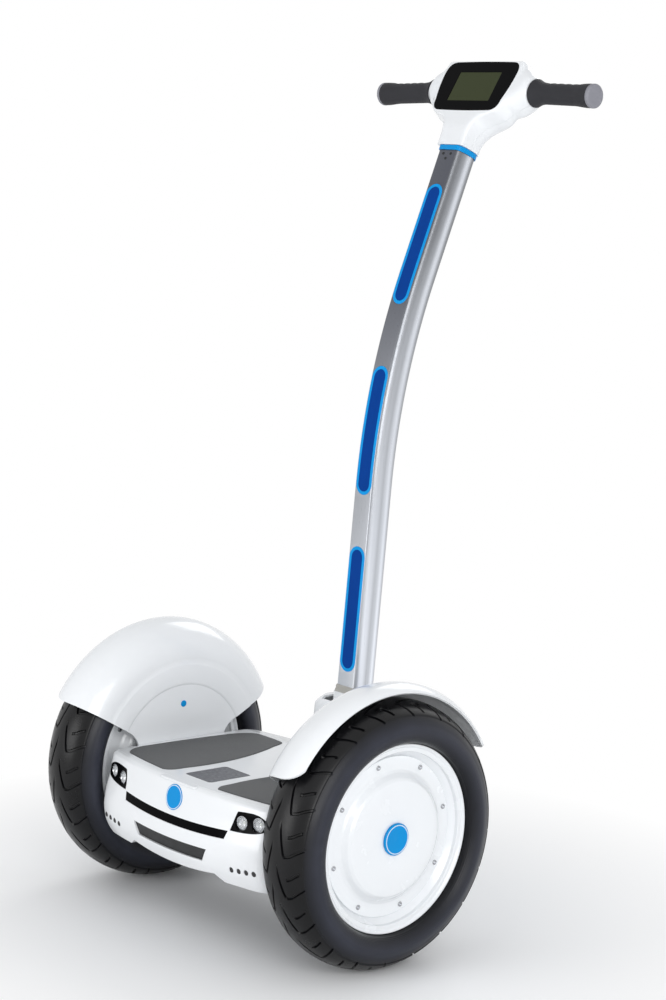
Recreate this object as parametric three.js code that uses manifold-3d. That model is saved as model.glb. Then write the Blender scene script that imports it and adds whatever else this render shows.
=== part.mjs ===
// Two-wheeled self-balancing scooter with a leaning steering column.
// Millimetres. +X to the rider's right, +Y forwards, +Z up; the wheels stand on z = 0.
import * as THREE from 'three';
import { mergeVertices } from 'three/addons/utils/BufferGeometryUtils.js';
import Module from 'manifold-3d';

const wasm = await Module();
wasm.setup();

// Fits shared by the whole assembly
const gap = 0.3;              // clearance between two pieces that touch
const overrun = 4;            // how far a cutting shape passes what it cuts

// Wheels
const halfTrack = 260;        // wheel centre plane from the middle of the scooter
const tyreRadius = 197.5;
const tyreHalfWidth = 53;
const crownHeight = 39.5;     // tyre's widest place to its tread
const tyreWall = 7;
const beadRadius = 126.8;
const rimFlangeRadius = 138.3;
const rimHalfWidth = 36.4;
const rimLip = 3;
const rimRingRadius = 103;    // bore that the stator turns in
const dishDepth = 15.4;       // from the flange face in to the hub cover
const hubCoverRadius = 117.6;
const hubCoverWall = 3.2;
const domeFootRadius = 98;
const domeTopRadius = 84;
const domeRise = 13;
const hubCapRadius = 23.5;
const hubCapHeight = 4;
const axleRadius = 12;
const axleInnerEnd = 150;
const bearingRadius = 24;
const bearingWidth = 11;
const statorRadius = 98;
const statorHalfWidth = 14;
const wheelSegments = 28;     // facets round each turned wheel piece

// Chassis body
const deckRise = 37;          // axle to the deck
const bodyHeight = 123.5;
const bodyHalfWidth = 198;
const rearReach = 180.5;
const frontReach = 178;
const planRadius = 830;       // bow of the rear and front faces seen from above
const cornerRadius = 22;
const bodyLean = 14.5;        // how far the rear face draws in towards its top and foot
const bodyTuck = 8;           // how far the sides draw in at the foot
const shellWall = 3;
const deckSkin = 4;
const deckSeam = 7;           // rear edge of the body to the seam of the deck
const deckFront = 126;
const fasciaDepth = 75;       // rear face to where the fascia meets the belly tub
const notchHalfWidth = 104;
const notchSlope = 8;
const notchHeight = 10;
const apronDrop = 7.5;
const frameWall = 4;
const frameHalfWidth = 186;
const frameRearRoom = 50.5;   // frame to the furthest reach of the rear face
const frameFrontRoom = 38;
const frameCorner = 28;       // bevel of the frame's corners seen from above
const pedestalDepth = 26;
const batteryHalfWidth = 138;
const batteryLength = 205;
const batteryHeight = 50;
const controllerHalfWidth = 110;
const controllerLength = 130;
const controllerHeight = 20;
const controllerFin = 14;
const finCount = 9;
const finWall = 3;
const clampWidth = 33;
const clampHalfLength = 32;
const clampCrown = 20;        // axle centre to the top of the clamp

// Foot mats and the plate between them
const matThickness = 3;
const matRecess = 2;
const matInner = 50;
const matOuter = 187;
const matRear = 141;
const matFront = 122;
const plateHalfWidth = 30;
const plateRear = 128;
const plateFront = 49;

// Rear face fittings
const lampInner = 124.5;
const lampOuter = 190;
const lampDrop = 11.7;        // deck to the top of the lamps
const lampHeight = 30.5;
const lampDepth = 9;
const lensRadius = 10.5;
const lensOuterX = 171;
const lensOuterDrop = 13.8;   // below the top of the lamps
const lensInnerX = 141.5;
const lensInnerDrop = 17.2;
const lensWeb = 2;
const barHalfWidth = 121;
const barDrop = 43.9;         // deck to the ends of the dark bar
const barThickness = 12.2;
const barBow = 4.6;
const barDepth = 5;
const ventHalfWidth = 86;
const ventDrop = 79;
const ventHeight = 19;
const ventBow = 2;
const ventSetback = 3;        // how far the vent lies behind the fascia
const ventSlatCount = 3;
const badgeRadius = 18.5;
const badgeDrop = 22.8;
const badgeThickness = 2;
const dotCount = 4;           // round holes under each lamp
const dotRadius = 3.5;
const dotStart = 134.5;
const dotPitch = 13.7;
const dotDrop = 97.7;
const dotRise = 1.1;          // from one hole to the next

// Neck, lean pivot and front fittings
const neckHalfWidth = 64;
const neckRear = 142;
const neckFront = 225;
const neckDrop = 99.5;        // deck to the foot of the neck
const neckHeight = 185;
const neckCorner = 24;
const neckCrown = 14;
const pivotY = 179;
const pivotRise = 45.5;       // deck to the lean pivot
const drumRadius = 36;
const drumHalfLength = 28;
const earWidth = 5;
const earRadius = 20;
const bracketPlate = 6;
const pinRadius = 8;
const bushWall = 5;
const slotHalfWidth = 38.5;
const socketWall = 4;         // collar round the foot of the pole
const socketHeight = 50;      // pivot to the top of that collar
const socketFloor = 20;
const fittingX = 112;
const fittingDrop = 62.5;
const chargeRadius = 11;
const chargeDepth = 18;
const chargeWall = 2.5;
const flapRadius = 13;
const flapThickness = 3;
const flapPin = 2.4;
const buttonRadius = 7;
const buttonProud = 4;
const buttonLength = 14;
const bossWall = 2.5;

// Steering column
const poleWidth = 50;
const poleDepth = 45;
const poleNose = 16;          // corner radius at the front
const poleWall = 3;
const poleFace = 20;          // half width of the flat rear face
const poleLowLean = 2.6;      // degrees from upright, below the bend
const poleBend = 17.8;        // degrees
const poleLowLength = 374.4;  // pivot to the start of the bend
const poleBendRadius = 1078.5;
const poleHighLength = 222;
const stripHalfWidth = 17;
const stripLength = 197;
const stripThickness = 1.8;
const stripRecess = 1.4;
const ringHeight = 8;
const ringWall = 2.2;
const ringStation = 200;      // end of the bend to the foot of the ring

// Head and handlebar
const headRise = 91.9;        // end of the pole to the bar axis, along the display
const headSetback = 1.1;      // bar axis to the rear of the pole's end
const headTilt = 31;          // degrees, display plane from upright
const headHalfWidth = 107.5;
const headTop = 42;           // above the bar axis, along the display
const headFoot = 104.5;       // below the bar axis, along the display
const podHalfWidth = 86;
const headRear = 27.5;
const headFrontDepth = 27;
const headWall = 2.6;
const headCorner = 4;
const hubRadius = 21.5;       // ends of the head, where the grips begin
const glassTopHalf = 78;
const glassBottomHalf = 71;
const glassHalfHeight = 44.5;
const glassCentre = -5.9;
const glassThickness = 2;
const glassCorner = 14;
const lcdHalfWidth = 47;
const lcdHalfHeight = 28;
const lcdThickness = 5;
const bezelDepth = 9;
const tubeRadius = 11;
const tubeWall = 2.5;
const gripStart = 108.5;
const gripLength = 116;
const gripDroop = 1.9;        // degrees below level
const gripFlange = 21.5;
const gripWaist = 16.5;
const gripTail = 19.3;
const gripCapLength = 7;

// Fenders
const fenderPlane = 200.5;    // inboard face of the fender disc
const fenderWall = 3;
const fenderShoulder = 7;     // tyre's widest place to where the disc turns into the crown
const fenderCrownX = 262;
const fenderRoom = 22.8;      // tread to the crown of the fender
const fenderLipRadius = 35.5;
const fenderLipTurn = 44.8;   // degrees
const fenderFrontCut = 28;    // degrees above level
const fenderRearCut = 29;
const fenderTabHalf = 83;
const fenderTabDrop = 62;
const fenderFillet = 24;
const fenderTrimWidth = 33;
const fenderTrimLength = 38;
const ringStepInner = 125;
const ringStepOuter = 158;
const ringStepHeight = 1.5;
const ringStepSlope = 5;
const axleHole = 16;

// Shares of the body height, with the lean and tuck at each of those levels
const bodyLevelShares = [0, 0.06, 0.2, 0.36, 0.55, 0.75, 0.97, 1];
const bodyLeanShares = [1, 0.7, 0.2, 0, 0.2, 0.65, 1, 1.4];
const bodyTuckShares = [1, 0.32, 0, 0, 0, 0, 0, 0.4];
// Shares of the neck height, with shares of how far its front stands out and its crown closes
const neckLevelShares = [0, 0.2, 0.45, 0.7, 0.92, 1];
const neckBeakShares = [0.35, 0.65, 0.92, 1, 1, 0.85];
const neckCloseShares = [0, 0, 0, 0, 0.1, 1];
// Head from foot to top, as shares: height, half width at the rear and across, how far the front
// reaches, and how level the ring lies
const headLevelShares = [
  -1, -0.875, -0.76, -0.66, -0.575, -0.517, -0.469, -0.372, -0.13, 0.24, 0.68, 1,
];
const headRearShares = [0.33, 0.33, 0.345, 0.39, 0.52, 0.7, 0.81, 0.88, 0.95, 0.99, 0.985, 0.95];
const headWidthShares = [0.33, 0.33, 0.36, 0.46, 0.62, 0.79, 0.89, 0.95, 1, 1, 0.98, 0.94];
const headFrontShares = [1, 1, 1, 1, 1, 1, 1, 0.95, 0.85, 0.6, 0.35, 0.25];
const headLevellingShares = [0, 0, 0, 0, 0, 0, 0, 0, 0, 0.2, 0.55, 0.9];
// Half width of the head's flat front, as a share of the ring's
const headNoseShare = 0.4;
// Cross hub of the head: shares of its half length, and its radius there as shares of the end's
const hubStationShares = [-1, -0.93, -0.85, -0.7, 0.7, 0.85, 0.93, 1];
const hubRadiusShares = [1, 1.2, 1.5, 1.8, 1.8, 1.5, 1.2, 1];
// Where the light strips start, as shares of the pole length
const stripStartShares = [0.0902, 0.3884, 0.704];

const rad = THREE.MathUtils.degToRad;
const tyreWaistRadius = tyreRadius - crownHeight;
const deckTop = tyreRadius + deckRise;
const bodyBottom = deckTop - bodyHeight;
const frameRear = rearReach - frameRearRoom;
const frameFront = frontReach - frameFrontRoom;
const lampTop = deckTop - lampDrop;
const lampBottom = lampTop - lampHeight;
const lensOuterZ = lampTop - lensOuterDrop;
const lensInnerZ = lampTop - lensInnerDrop;
const barEndTop = deckTop - barDrop;
const ventTop = deckTop - ventDrop;
const badgeHeight = deckTop - badgeDrop;
const neckFoot = deckTop - neckDrop;
const neckTop = neckFoot + neckHeight;
const pivotZ = deckTop + pivotRise;
const fittingZ = deckTop - fittingDrop;
const fenderRise = tyreWaistRadius + fenderShoulder;
const fenderCrownRadius = tyreRadius + fenderRoom;


// Points on an elliptical arc, angles in degrees.
function arcPoints(cx, cy, rx, ry, from, to, count) {
  return Array.from({ length: count + 1 }, (_, i) => {
    const a = rad(from + (to - from) * i / count);
    return new THREE.Vector2(cx + rx * Math.cos(a), cy + ry * Math.sin(a));
  });
}

// Joins quadratic curves into one ring of points. Each is start, control, end and, where it
// differs from the others, a count of steps; a straight stretch is given as start and end alone.
function ringOfCurves(curves, count) {
  return curves.flatMap(([a, b, c, steps = count]) => (c
    ? new THREE.QuadraticBezierCurve(
      new THREE.Vector2(...a), new THREE.Vector2(...b), new THREE.Vector2(...c),
    ).getPoints(steps).slice(0, -1)
    : [new THREE.Vector2(...a)]));
}

function shapeOf(points) {
  return new THREE.Shape(points.map((p) => new THREE.Vector2(p.x ?? p[0], p.y ?? p[1])));
}

// A rectangle with rounded corners, its middle at (cx, cy).
function roundedRect(halfX, halfY, radius, cx = 0, cy = 0, count = 4) {
  const x = halfX - radius;
  const y = halfY - radius;
  return shapeOf([
    ...arcPoints(cx + x, cy + y, radius, radius, 0, 90, count),
    ...arcPoints(cx - x, cy + y, radius, radius, 90, 180, count),
    ...arcPoints(cx - x, cy - y, radius, radius, 180, 270, count),
    ...arcPoints(cx + x, cy - y, radius, radius, 270, 360, count),
  ]);
}

// Turns a closed three.js geometry into a solid, with shared vertices and faces outwards.
function solid(geometry) {
  const bare = geometry.clone();
  bare.deleteAttribute('normal');
  bare.deleteAttribute('uv');
  const merged = mergeVertices(bare);
  const p = merged.attributes.position;
  const index = merged.index.array;
  const triangles = [];
  let volume = 0;
  const [a, b, c] = [0, 1, 2].map(() => new THREE.Vector3());
  for (let i = 0; i < index.length; i += 3) {
    const [u, v, w] = [index[i], index[i + 1], index[i + 2]];
    if (u === v || v === w || w === u) continue;
    triangles.push([u, v, w]);
    volume += a.fromBufferAttribute(p, u).dot(b.fromBufferAttribute(p, v)
      .cross(c.fromBufferAttribute(p, w)));
  }
  const ordered = volume < 0 ? triangles.map(([u, v, w]) => [u, w, v]) : triangles;
  return new wasm.Manifold(new wasm.Mesh({
    numProp: 3,
    vertProperties: Float32Array.from(p.array),
    triVerts: Uint32Array.from(ordered.flat()),
  }));
}

function geometryOf(body) {
  const mesh = body.getMesh();
  const geometry = new THREE.BufferGeometry();
  geometry.setAttribute('position', new THREE.BufferAttribute(mesh.vertProperties, 3));
  geometry.setIndex(new THREE.BufferAttribute(mesh.triVerts, 1));
  geometry.computeVertexNormals();
  return geometry;
}

const cut = (body, ...tools) => tools.reduce((rest, tool) => rest.subtract(tool), body);
const join = (body, ...others) => others.reduce((sum, other) => sum.add(other), body);
const common = (body, ...others) => others.reduce((rest, other) => rest.intersect(other), body);

// Moves or turns a solid by way of its geometry.
function placed(body, x = 0, y = 0, z = 0, turnX = 0, turnY = 0) {
  const matrix = new THREE.Matrix4().makeRotationFromEuler(new THREE.Euler(turnX, turnY, 0));
  matrix.setPosition(x, y, z);
  return solid(geometryOf(body).applyMatrix4(matrix));
}

const mirrored = (body) => solid(geometryOf(body).scale(-1, 1, 1));

function block(x0, x1, y0, y1, z0, z1) {
  return solid(new THREE.BoxGeometry(x1 - x0, y1 - y0, z1 - z0)
    .translate((x0 + x1) / 2, (y0 + y1) / 2, (z0 + z1) / 2));
}

const flatExtrusion = (shape, depth) => new THREE.ExtrudeGeometry(
  shape, { depth, bevelEnabled: false },
);

// A plan outline raised from z0 to z1.
const plate = (shape, z0, z1) => solid(flatExtrusion(shape, z1 - z0).translate(0, 0, z0));

// A front outline, (x, z), given thickness from y0 to y1.
const frontPlate = (shape, y0, y1) => solid(flatExtrusion(shape, y1 - y0)
  .rotateX(Math.PI / 2).translate(0, y1, 0));

// A side outline, (y, z), given thickness from x0 to x1.
function sidePlate(shape, x0, x1) {
  const turn = new THREE.Matrix4().makeBasis(
    new THREE.Vector3(0, 1, 0), new THREE.Vector3(0, 0, 1), new THREE.Vector3(1, 0, 0),
  );
  return solid(flatExtrusion(shape, x1 - x0).applyMatrix4(turn).translate(x0, 0, 0));
}

// Revolves a closed profile of [radius, x] points about the X axis.
function turned(profile, segments) {
  const points = profile.map((p) => new THREE.Vector2(p.x ?? p[0], p.y ?? p[1]));
  points.push(points[0].clone());
  return solid(new THREE.LatheGeometry(points, segments).rotateZ(-Math.PI / 2));
}

function rodX(radius, x0, x1, segments = 16) {
  return solid(new THREE.CylinderGeometry(radius, radius, x1 - x0, segments)
    .rotateZ(Math.PI / 2).translate((x0 + x1) / 2, 0, 0));
}

function rodY(radius, y0, y1, x, z, segments = 16) {
  return solid(new THREE.CylinderGeometry(radius, radius, y1 - y0, segments)
    .translate(x, (y0 + y1) / 2, z));
}

// Skins a stack of rings of points, all with the same count, and closes both ends.
function loft(rings) {
  const count = rings[0].length;
  const position = rings.flat().flatMap((p) => [p.x, p.y, p.z]);
  const index = [];
  for (let k = 0; k + 1 < rings.length; k += 1) {
    for (let i = 0; i < count; i += 1) {
      const j = (i + 1) % count;
      const [a, b, c, d] = [k * count + i, k * count + j, (k + 1) * count + j, (k + 1) * count + i];
      index.push(a, b, c, a, c, d);
    }
  }
  for (const k of [0, rings.length - 1]) {
    const middle = rings[k].reduce((sum, p) => sum.add(p), new THREE.Vector3()).divideScalar(count);
    const tip = position.length / 3;
    position.push(middle.x, middle.y, middle.z);
    for (let i = 0; i < count; i += 1) {
      const edge = [k * count + i, k * count + (i + 1) % count];
      index.push(...(k ? edge : edge.reverse()), tip);
    }
  }
  const geometry = new THREE.BufferGeometry();
  geometry.setAttribute('position', new THREE.Float32BufferAttribute(position, 3));
  geometry.setIndex(index);
  return solid(geometry);
}

const lerpTable = (levels, values, level) => {
  const k = Math.max(1, levels.findIndex((v) => v >= level));
  return THREE.MathUtils.mapLinear(level, levels[k - 1], levels[k], values[k - 1], values[k]);
};

// A rounded rectangle of points at height z, the corners quarter curves.
function softRing(half, y0, y1, corner, z, count = 2) {
  const c = Math.min(corner, half, (y1 - y0) / 2);
  return ringOfCurves([
    [[half, y0 + c], [half, y1 - c]], [[half, y1 - c], [half, y1], [half - c, y1]],
    [[half - c, y1], [-half + c, y1]], [[-half + c, y1], [-half, y1], [-half, y1 - c]],
    [[-half, y1 - c], [-half, y0 + c]], [[-half, y0 + c], [-half, y0], [-half + c, y0]],
    [[-half + c, y0], [half - c, y0]], [[half - c, y0], [half, y0], [half, y0 + c]],
  ], count).map((p) => new THREE.Vector3(p.x, p.y, z));
}

const scooter = new THREE.Group();
scooter.name = 'scooter';

function finish(color, roughness, metalness = 0) {
  return () => new THREE.MeshStandardMaterial({ color, roughness, metalness });
}

const whiteShell = finish(0xf2f3f5, 0.25);
const blackGloss = finish(0x0c0d0f, 0.15);
const darkPlastic = finish(0x2c2d30, 0.6);
const greyRubber = finish(0x5c5e5e, 0.85);
const gripRubber = finish(0x45454a, 0.8);
const tyreRubber = finish(0x1b1c20, 0.75);
const silver = finish(0xa8adb3, 0.35, 0.9);
const castMetal = finish(0x8a8d92, 0.5, 0.8);
const steel = finish(0x74777c, 0.35, 1);
const blueGloss = finish(0x1e95e0, 0.25);
const blueLight = finish(0x0a3fa0, 0.3);
const clearLens = finish(0xd8dde0, 0.1);
const lcdGlass = finish(0x474b38, 0.3);

// Names a solid and hangs it in a group of the scooter.
function piece(group, name, body, material) {
  const mesh = new THREE.Mesh(geometryOf(body), material());
  mesh.name = name;
  group.add(mesh);
}

const bow = (x) => x * x / (2 * planRadius);

// Chassis body: one lofted form, from which every outer cover is cut
function bodyForm(inset) {
  const half = bodyHalfWidth - inset;
  const rings = bodyLevelShares.map((share, k) => {
    const z = bodyBottom + inset + share * (bodyHeight - inset - inset);
    const lean = inset + bodyLean * bodyLeanShares[k];
    const w = half - bodyTuck * bodyTuckShares[k];
    const r = cornerRadius - inset;
    const [y0, y1] = [lean - rearReach, frontReach - lean];
    const [e, s] = [w - r, bow(w)];
    return ringOfCurves([
      [[w, y0 + s + r], [w, y1 - s - r]],
      [[w, y1 - s - r], [w, y1 - s], [e, y1 - bow(e)]],
      [[e, y1 - bow(e)], [0, y1 + bow(e)], [-e, y1 - bow(e)], 4],
      [[-e, y1 - bow(e)], [-w, y1 - s], [-w, y1 - s - r]],
      [[-w, y1 - s - r], [-w, y0 + s + r]],
      [[-w, y0 + s + r], [-w, y0 + s], [-e, y0 + bow(e)]],
      [[-e, y0 + bow(e)], [0, y0 - bow(e)], [e, y0 + bow(e)], 6],
      [[e, y0 + bow(e)], [w, y0 + s], [w, y0 + s + r]],
    ], 2).map((p) => new THREE.Vector3(p.x, p.y, z));
  });
  return loft(rings);
}

// How far the curved face lies inside the body's furthest reach, at a place on it
const faceInset = (x, z) => bow(x) + bodyLean * lerpTable(
  bodyLevelShares, bodyLeanShares, (z - bodyBottom) / bodyHeight,
);

const bodySkin = cut(bodyForm(0), bodyForm(shellWall));
const outside = bodyHalfWidth + overrun;

// Plan of the deck: square at the front and sides, bowed along the rear seam.
function deckRegion(clearance) {
  const seam = bodyLean * bodyLeanShares.at(-1) - rearReach + deckSeam - clearance;
  const front = deckFront + clearance;
  const rear = Array.from({ length: 13 }, (_, i) => {
    const x = outside * (i / 6 - 1);
    return [x, seam + bow(x)];
  });
  return shapeOf([...rear, [outside, front], [-outside, front]]);
}

const deckUnder = deckTop - deckSkin;
const deckCut = plate(deckRegion(gap), deckUnder - gap, deckTop + overrun);

// Mat outline on the right-hand side: straight outer flank, inner edge swept out to the front.
function matShape(side, growth) {
  const [inner, outer] = [matInner - growth, matOuter + growth];
  const [rear, front] = [-matRear - growth, matFront + growth];
  const width = outer - inner;
  const length = front - rear;
  const at = (u, v) => [side * (inner + width * u), rear + length * v];
  const corners = [
    [at(0.03, 0.12), at(0.02, 0.02), at(0.12, 0)],
    [at(0.12, 0), at(0.5, 0.015), at(0.84, 0.05)],
    [at(0.84, 0.05), at(0.97, 0.08), at(1, 0.2)],
    [at(1, 0.2), at(1, 0.5), at(0.96, 0.78)],
    [at(0.96, 0.78), at(0.93, 0.97), at(0.78, 1)],
    [at(0.78, 1), at(0.55, 1.005), at(0.36, 0.995)],
    [at(0.36, 0.995), at(0.3, 0.99), at(0.26, 0.9)],
    [at(0.26, 0.9), at(-0.08, 0.5), at(0.03, 0.12)],
  ];
  return shapeOf(ringOfCurves(corners, 3));
}

const plateShape = (growth) => roundedRect(
  plateHalfWidth + growth, (plateRear - plateFront) / 2 + growth, cornerRadius / 4 + growth,
  0, -(plateRear + plateFront) / 2, 3,
);

const recessFloor = deckTop - matRecess;
const deckBlank = common(bodyForm(0), plate(deckRegion(0), deckUnder, deckTop + overrun));
piece(scooter, 'deck_shell', cut(
  deckBlank,
  plate(matShape(1, gap), recessFloor, deckTop + overrun),
  plate(matShape(-1, gap), recessFloor, deckTop + overrun),
  plate(plateShape(gap), recessFloor, deckTop + overrun),
), whiteShell);
const matFloor = recessFloor + gap;
piece(scooter, 'foot_mat_right', plate(matShape(1, 0), matFloor, matFloor + matThickness), greyRubber);
piece(scooter, 'foot_mat_left', plate(matShape(-1, 0), matFloor, matFloor + matThickness), greyRubber);
piece(scooter, 'deck_plate', plate(plateShape(0), matFloor, deckTop), castMetal);

// Rear fascia with its windows for the lamps, the dark bar and the vent
function lampShape(side, growth) {
  const width = lampOuter - lampInner;
  const height = lampTop - lampBottom;
  const middle = [0.5, 0.5];
  const grow = 1 + growth / (height / 2);
  const at = (u, v) => [
    side * (lampInner + width * (middle[0] + (u - middle[0]) * (1 + growth / (width / 2)))),
    lampBottom + height * (middle[1] + (v - middle[1]) * grow),
  ];
  return shapeOf(ringOfCurves([
    [at(0, 0), at(0.25, 0.01), at(0.45, 0.06)],
    [at(0.45, 0.06), at(0.75, 0.13), at(0.9, 0.3)],
    [at(0.9, 0.3), at(1.06, 0.55), at(0.9, 0.8)],
    [at(0.9, 0.8), at(0.75, 1.04), at(0.45, 1)],
    [at(0.45, 1), at(0.25, 0.98), at(0.12, 0.93)],
    [at(0.12, 0.93), at(0.05, 0.6), at(0, 0)],
  ], 3));
}

// A band that sags by the given bow in its middle, top edge and thickness given at its ends.
function bandShape(half, top, thickness, sag, taper, growth) {
  const rise = growth;
  const [h, g] = [half + growth, half + growth - taper];
  const bottom = top - thickness - growth;
  const upper = ringOfCurves([[[-h, top + rise], [0, top + rise - sag - sag], [h, top + rise]]], 6);
  const lower = ringOfCurves([[[g, bottom], [0, bottom - sag - sag], [-g, bottom]]], 6);
  return shapeOf([...upper, [h, top + rise], ...lower, [-g, bottom]]);
}

const barShape = (growth) => bandShape(
  barHalfWidth, barEndTop, barThickness, barBow, barThickness / 3, growth,
);
const ventShape = (growth) => bandShape(
  ventHalfWidth, ventTop, ventHeight, ventBow, ventHeight / 2, growth,
);
const rearMost = -rearReach - overrun;
const rearInside = -rearReach + cornerRadius + cornerRadius;
const throughRear = (shape) => frontPlate(shape, rearMost, -frameRear + frameWall);

const fasciaFront = fasciaDepth - rearReach;
const apronTop = bodyBottom + notchHeight;
function apronCut(growth) {
  const wide = notchHalfWidth + notchSlope + growth;
  const narrow = notchHalfWidth - notchSlope + growth;
  const top = apronTop + growth;
  return frontPlate(shapeOf([
    [-wide, bodyBottom - overrun], [-wide, bodyBottom],
    ...ringOfCurves([[[-narrow, top], [0, top - apronDrop - apronDrop], [narrow, top]]], 6),
    [narrow, top], [wide, bodyBottom], [wide, bodyBottom - overrun],
  ]), rearMost, -frameRear - gap);
}

const lampPocket = (side, growth) => frontPlate(lampShape(side, growth), rearMost, rearInside);
const badgeSeat = cut(
  rodY(badgeRadius + gap, rearMost, rearInside, 0, badgeHeight, 24), bodyForm(badgeThickness / 2),
);
const fasciaSkin = cut(
  cut(bodyForm(0), apronCut(0)), cut(bodyForm(shellWall), apronCut(shellWall)),
);
const fascia = cut(
  common(fasciaSkin, block(-outside, outside, rearMost, fasciaFront, 0, deckTop + overrun)),
  deckCut, badgeSeat,
  lampPocket(1, gap), lampPocket(-1, gap),
  throughRear(barShape(gap)), throughRear(ventShape(gap)),
  ...[1, -1].flatMap((side) => Array.from({ length: dotCount }, (_, k) => rodY(
    dotRadius, rearMost, rearInside, side * (dotStart + k * dotPitch),
    deckTop - dotDrop + k * dotRise, 8,
  ))),
);
piece(scooter, 'rear_fascia', fascia, whiteShell);

const skinBand = (outer, inner) => cut(bodyForm(outer), bodyForm(inner));
piece(scooter, 'rear_badge', common(
  skinBand(-badgeThickness / 2, badgeThickness / 2 - gap),
  rodY(badgeRadius, rearMost - overrun, rearInside, 0, badgeHeight, 24),
), blueGloss);
piece(scooter, 'dark_bar', common(
  skinBand(0, barDepth), throughRear(barShape(0)),
), blackGloss);

// Vent: a set-back panel with long slats
let vent = common(skinBand(ventSetback, ventSetback + barDepth), throughRear(ventShape(0)));
for (let k = 0; k < ventSlatCount; k += 1) {
  const z = ventTop - ventHeight * (k + 1) / (ventSlatCount + 1);
  const slot = bandShape(ventHalfWidth - ventHeight, z, ventBow, ventBow, 0, 0);
  vent = cut(vent, frontPlate(slot, rearMost, ventSetback + ventBow - rearReach));
}
piece(scooter, 'vent_panel', vent, darkPlastic);

// Lamp housings, each with two round pockets that show the lens behind it
for (const [side, word] of [[1, 'right'], [-1, 'left']]) {
  const eye = (x, z) => rodY(lensRadius + gap, rearMost, fasciaFront, side * x, z, 14);
  const housing = common(skinBand(0, lampDepth), lampPocket(side, 0));
  const lensFace = (x, z) => faceInset(x, z) - rearReach + lensWeb;
  const lensBack = lensFace(lensOuterX, lensOuterZ) + lampDepth;
  const dome = (x, z) => rodY(lensRadius, lensFace(x, z), lensBack + lensWeb, side * x, z, 14);
  piece(scooter, `lamp_housing_${word}`, cut(
    housing, eye(lensOuterX, lensOuterZ), eye(lensInnerX, lensInnerZ),
  ), blackGloss);
  piece(scooter, `lamp_lens_${word}`, join(
    dome(lensOuterX, lensOuterZ), dome(lensInnerX, lensInnerZ),
    block(...[side * lensInnerX, side * lensOuterX].sort((a, b) => a - b),
      lensBack, lensBack + lensWeb, lensInnerZ - lensWeb, lensInnerZ + lensWeb),
  ), clearLens);
}

// Neck housing: a lofted tower that grows out of the front cowl
function neckForm(inset, downTo = 0) {
  const rings = neckLevelShares.map((share, k) => {
    const z = neckFoot + share * (neckHeight - inset) - (k ? 0 : downTo);
    const close = neckCrown * neckCloseShares[k];
    const front = neckRear + (neckFront - neckRear) * neckBeakShares[k];
    const half = neckHalfWidth - inset - close;
    return softRing(half, neckRear + inset + close / 2, front - inset, neckCorner - inset, z);
  });
  return loft(rings);
}

const slotDepth = drumHalfLength + socketWall;
const neckSlot = block(
  -slotHalfWidth, slotHalfWidth, pivotY - slotDepth, pivotY + slotDepth,
  pivotZ, neckTop + overrun,
);
const bracketTop = deckUnder - gap;
const bracketFloor = bracketTop - bracketPlate - bracketPlate - gap;
const bracketHalf = neckHalfWidth - neckCorner / 2 - overrun;
const neckPassage = block(
  -bracketHalf - gap, bracketHalf + gap, neckRear - overrun, neckRear + neckCorner,
  bodyBottom, bracketTop,
);
piece(scooter, 'neck_housing', cut(
  neckForm(0), neckForm(shellWall, overrun), neckSlot, neckPassage,
), whiteShell);

// Front cowl, with the charging socket on one side and the power button on the other
const cowlRear = deckFront + gap + gap;
const fittingSkin = frontReach - faceInset(fittingX, fittingZ);
let cowl = common(bodySkin, block(
  -outside, outside, cowlRear, frontReach + overrun, 0, deckTop + overrun,
));
const bossFoot = fittingSkin - buttonLength;
const bossBand = common(bodyForm(shellWall / 2), join(
  rodY(buttonRadius + gap + bossWall, bossFoot, frontReach, -fittingX, fittingZ),
  rodY(chargeRadius + gap + bossWall, bossFoot, frontReach, fittingX, fittingZ),
));
cowl = cut(
  join(cowl, bossBand), neckForm(-gap),
  rodY(buttonRadius + gap, bossFoot - overrun, frontReach, -fittingX, fittingZ),
  rodY(chargeRadius + gap, bossFoot - overrun, frontReach, fittingX, fittingZ),
);
piece(scooter, 'front_cowl', cowl, whiteShell);

const socketMouth = fittingSkin + chargeWall;
piece(scooter, 'charge_socket', cut(
  rodY(chargeRadius, socketMouth - chargeDepth, socketMouth, fittingX, fittingZ),
  rodY(chargeRadius - chargeWall, socketMouth - chargeDepth + chargeWall + chargeWall,
    socketMouth + overrun, fittingX, fittingZ),
), darkPlastic);

// Belly tub under the frame
const tubTop = deckUnder - gap;
piece(scooter, 'belly_tub', cut(
  common(bodySkin, block(-outside, outside, fasciaFront + gap, deckFront, 0, tubTop)),
  placed(rodX(axleHole, -outside, outside), 0, 0, tyreRadius),
), darkPlastic);

// Frame: a welded tray with pedestals for the lean bracket
const frameBottom = bodyBottom + shellWall + gap;
const frameFloor = frameBottom + frameWall;
const frameTop = deckUnder - gap;
const framePlan = (inset) => roundedRect(
  frameHalfWidth - inset, (frameRear + frameFront) / 2 - inset, frameCorner - inset,
  0, (frameFront - frameRear) / 2, 1,
);
const tray = cut(
  plate(framePlan(0), frameBottom, frameTop),
  plate(framePlan(frameWall), frameFloor, frameTop + overrun),
  placed(rodX(axleHole, -outside, outside), 0, 0, tyreRadius),
  block(-bracketHalf - gap, bracketHalf + gap, frameFront - frameWall - overrun,
    frameFront + overrun, bracketFloor, frameTop + overrun),
);
const pedestalRear = frameFront - pedestalDepth;
piece(scooter, 'chassis_frame', join(tray, block(
  -bracketHalf, bracketHalf, pedestalRear, frameFront, frameBottom, bracketFloor,
)), castMetal);

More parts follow.
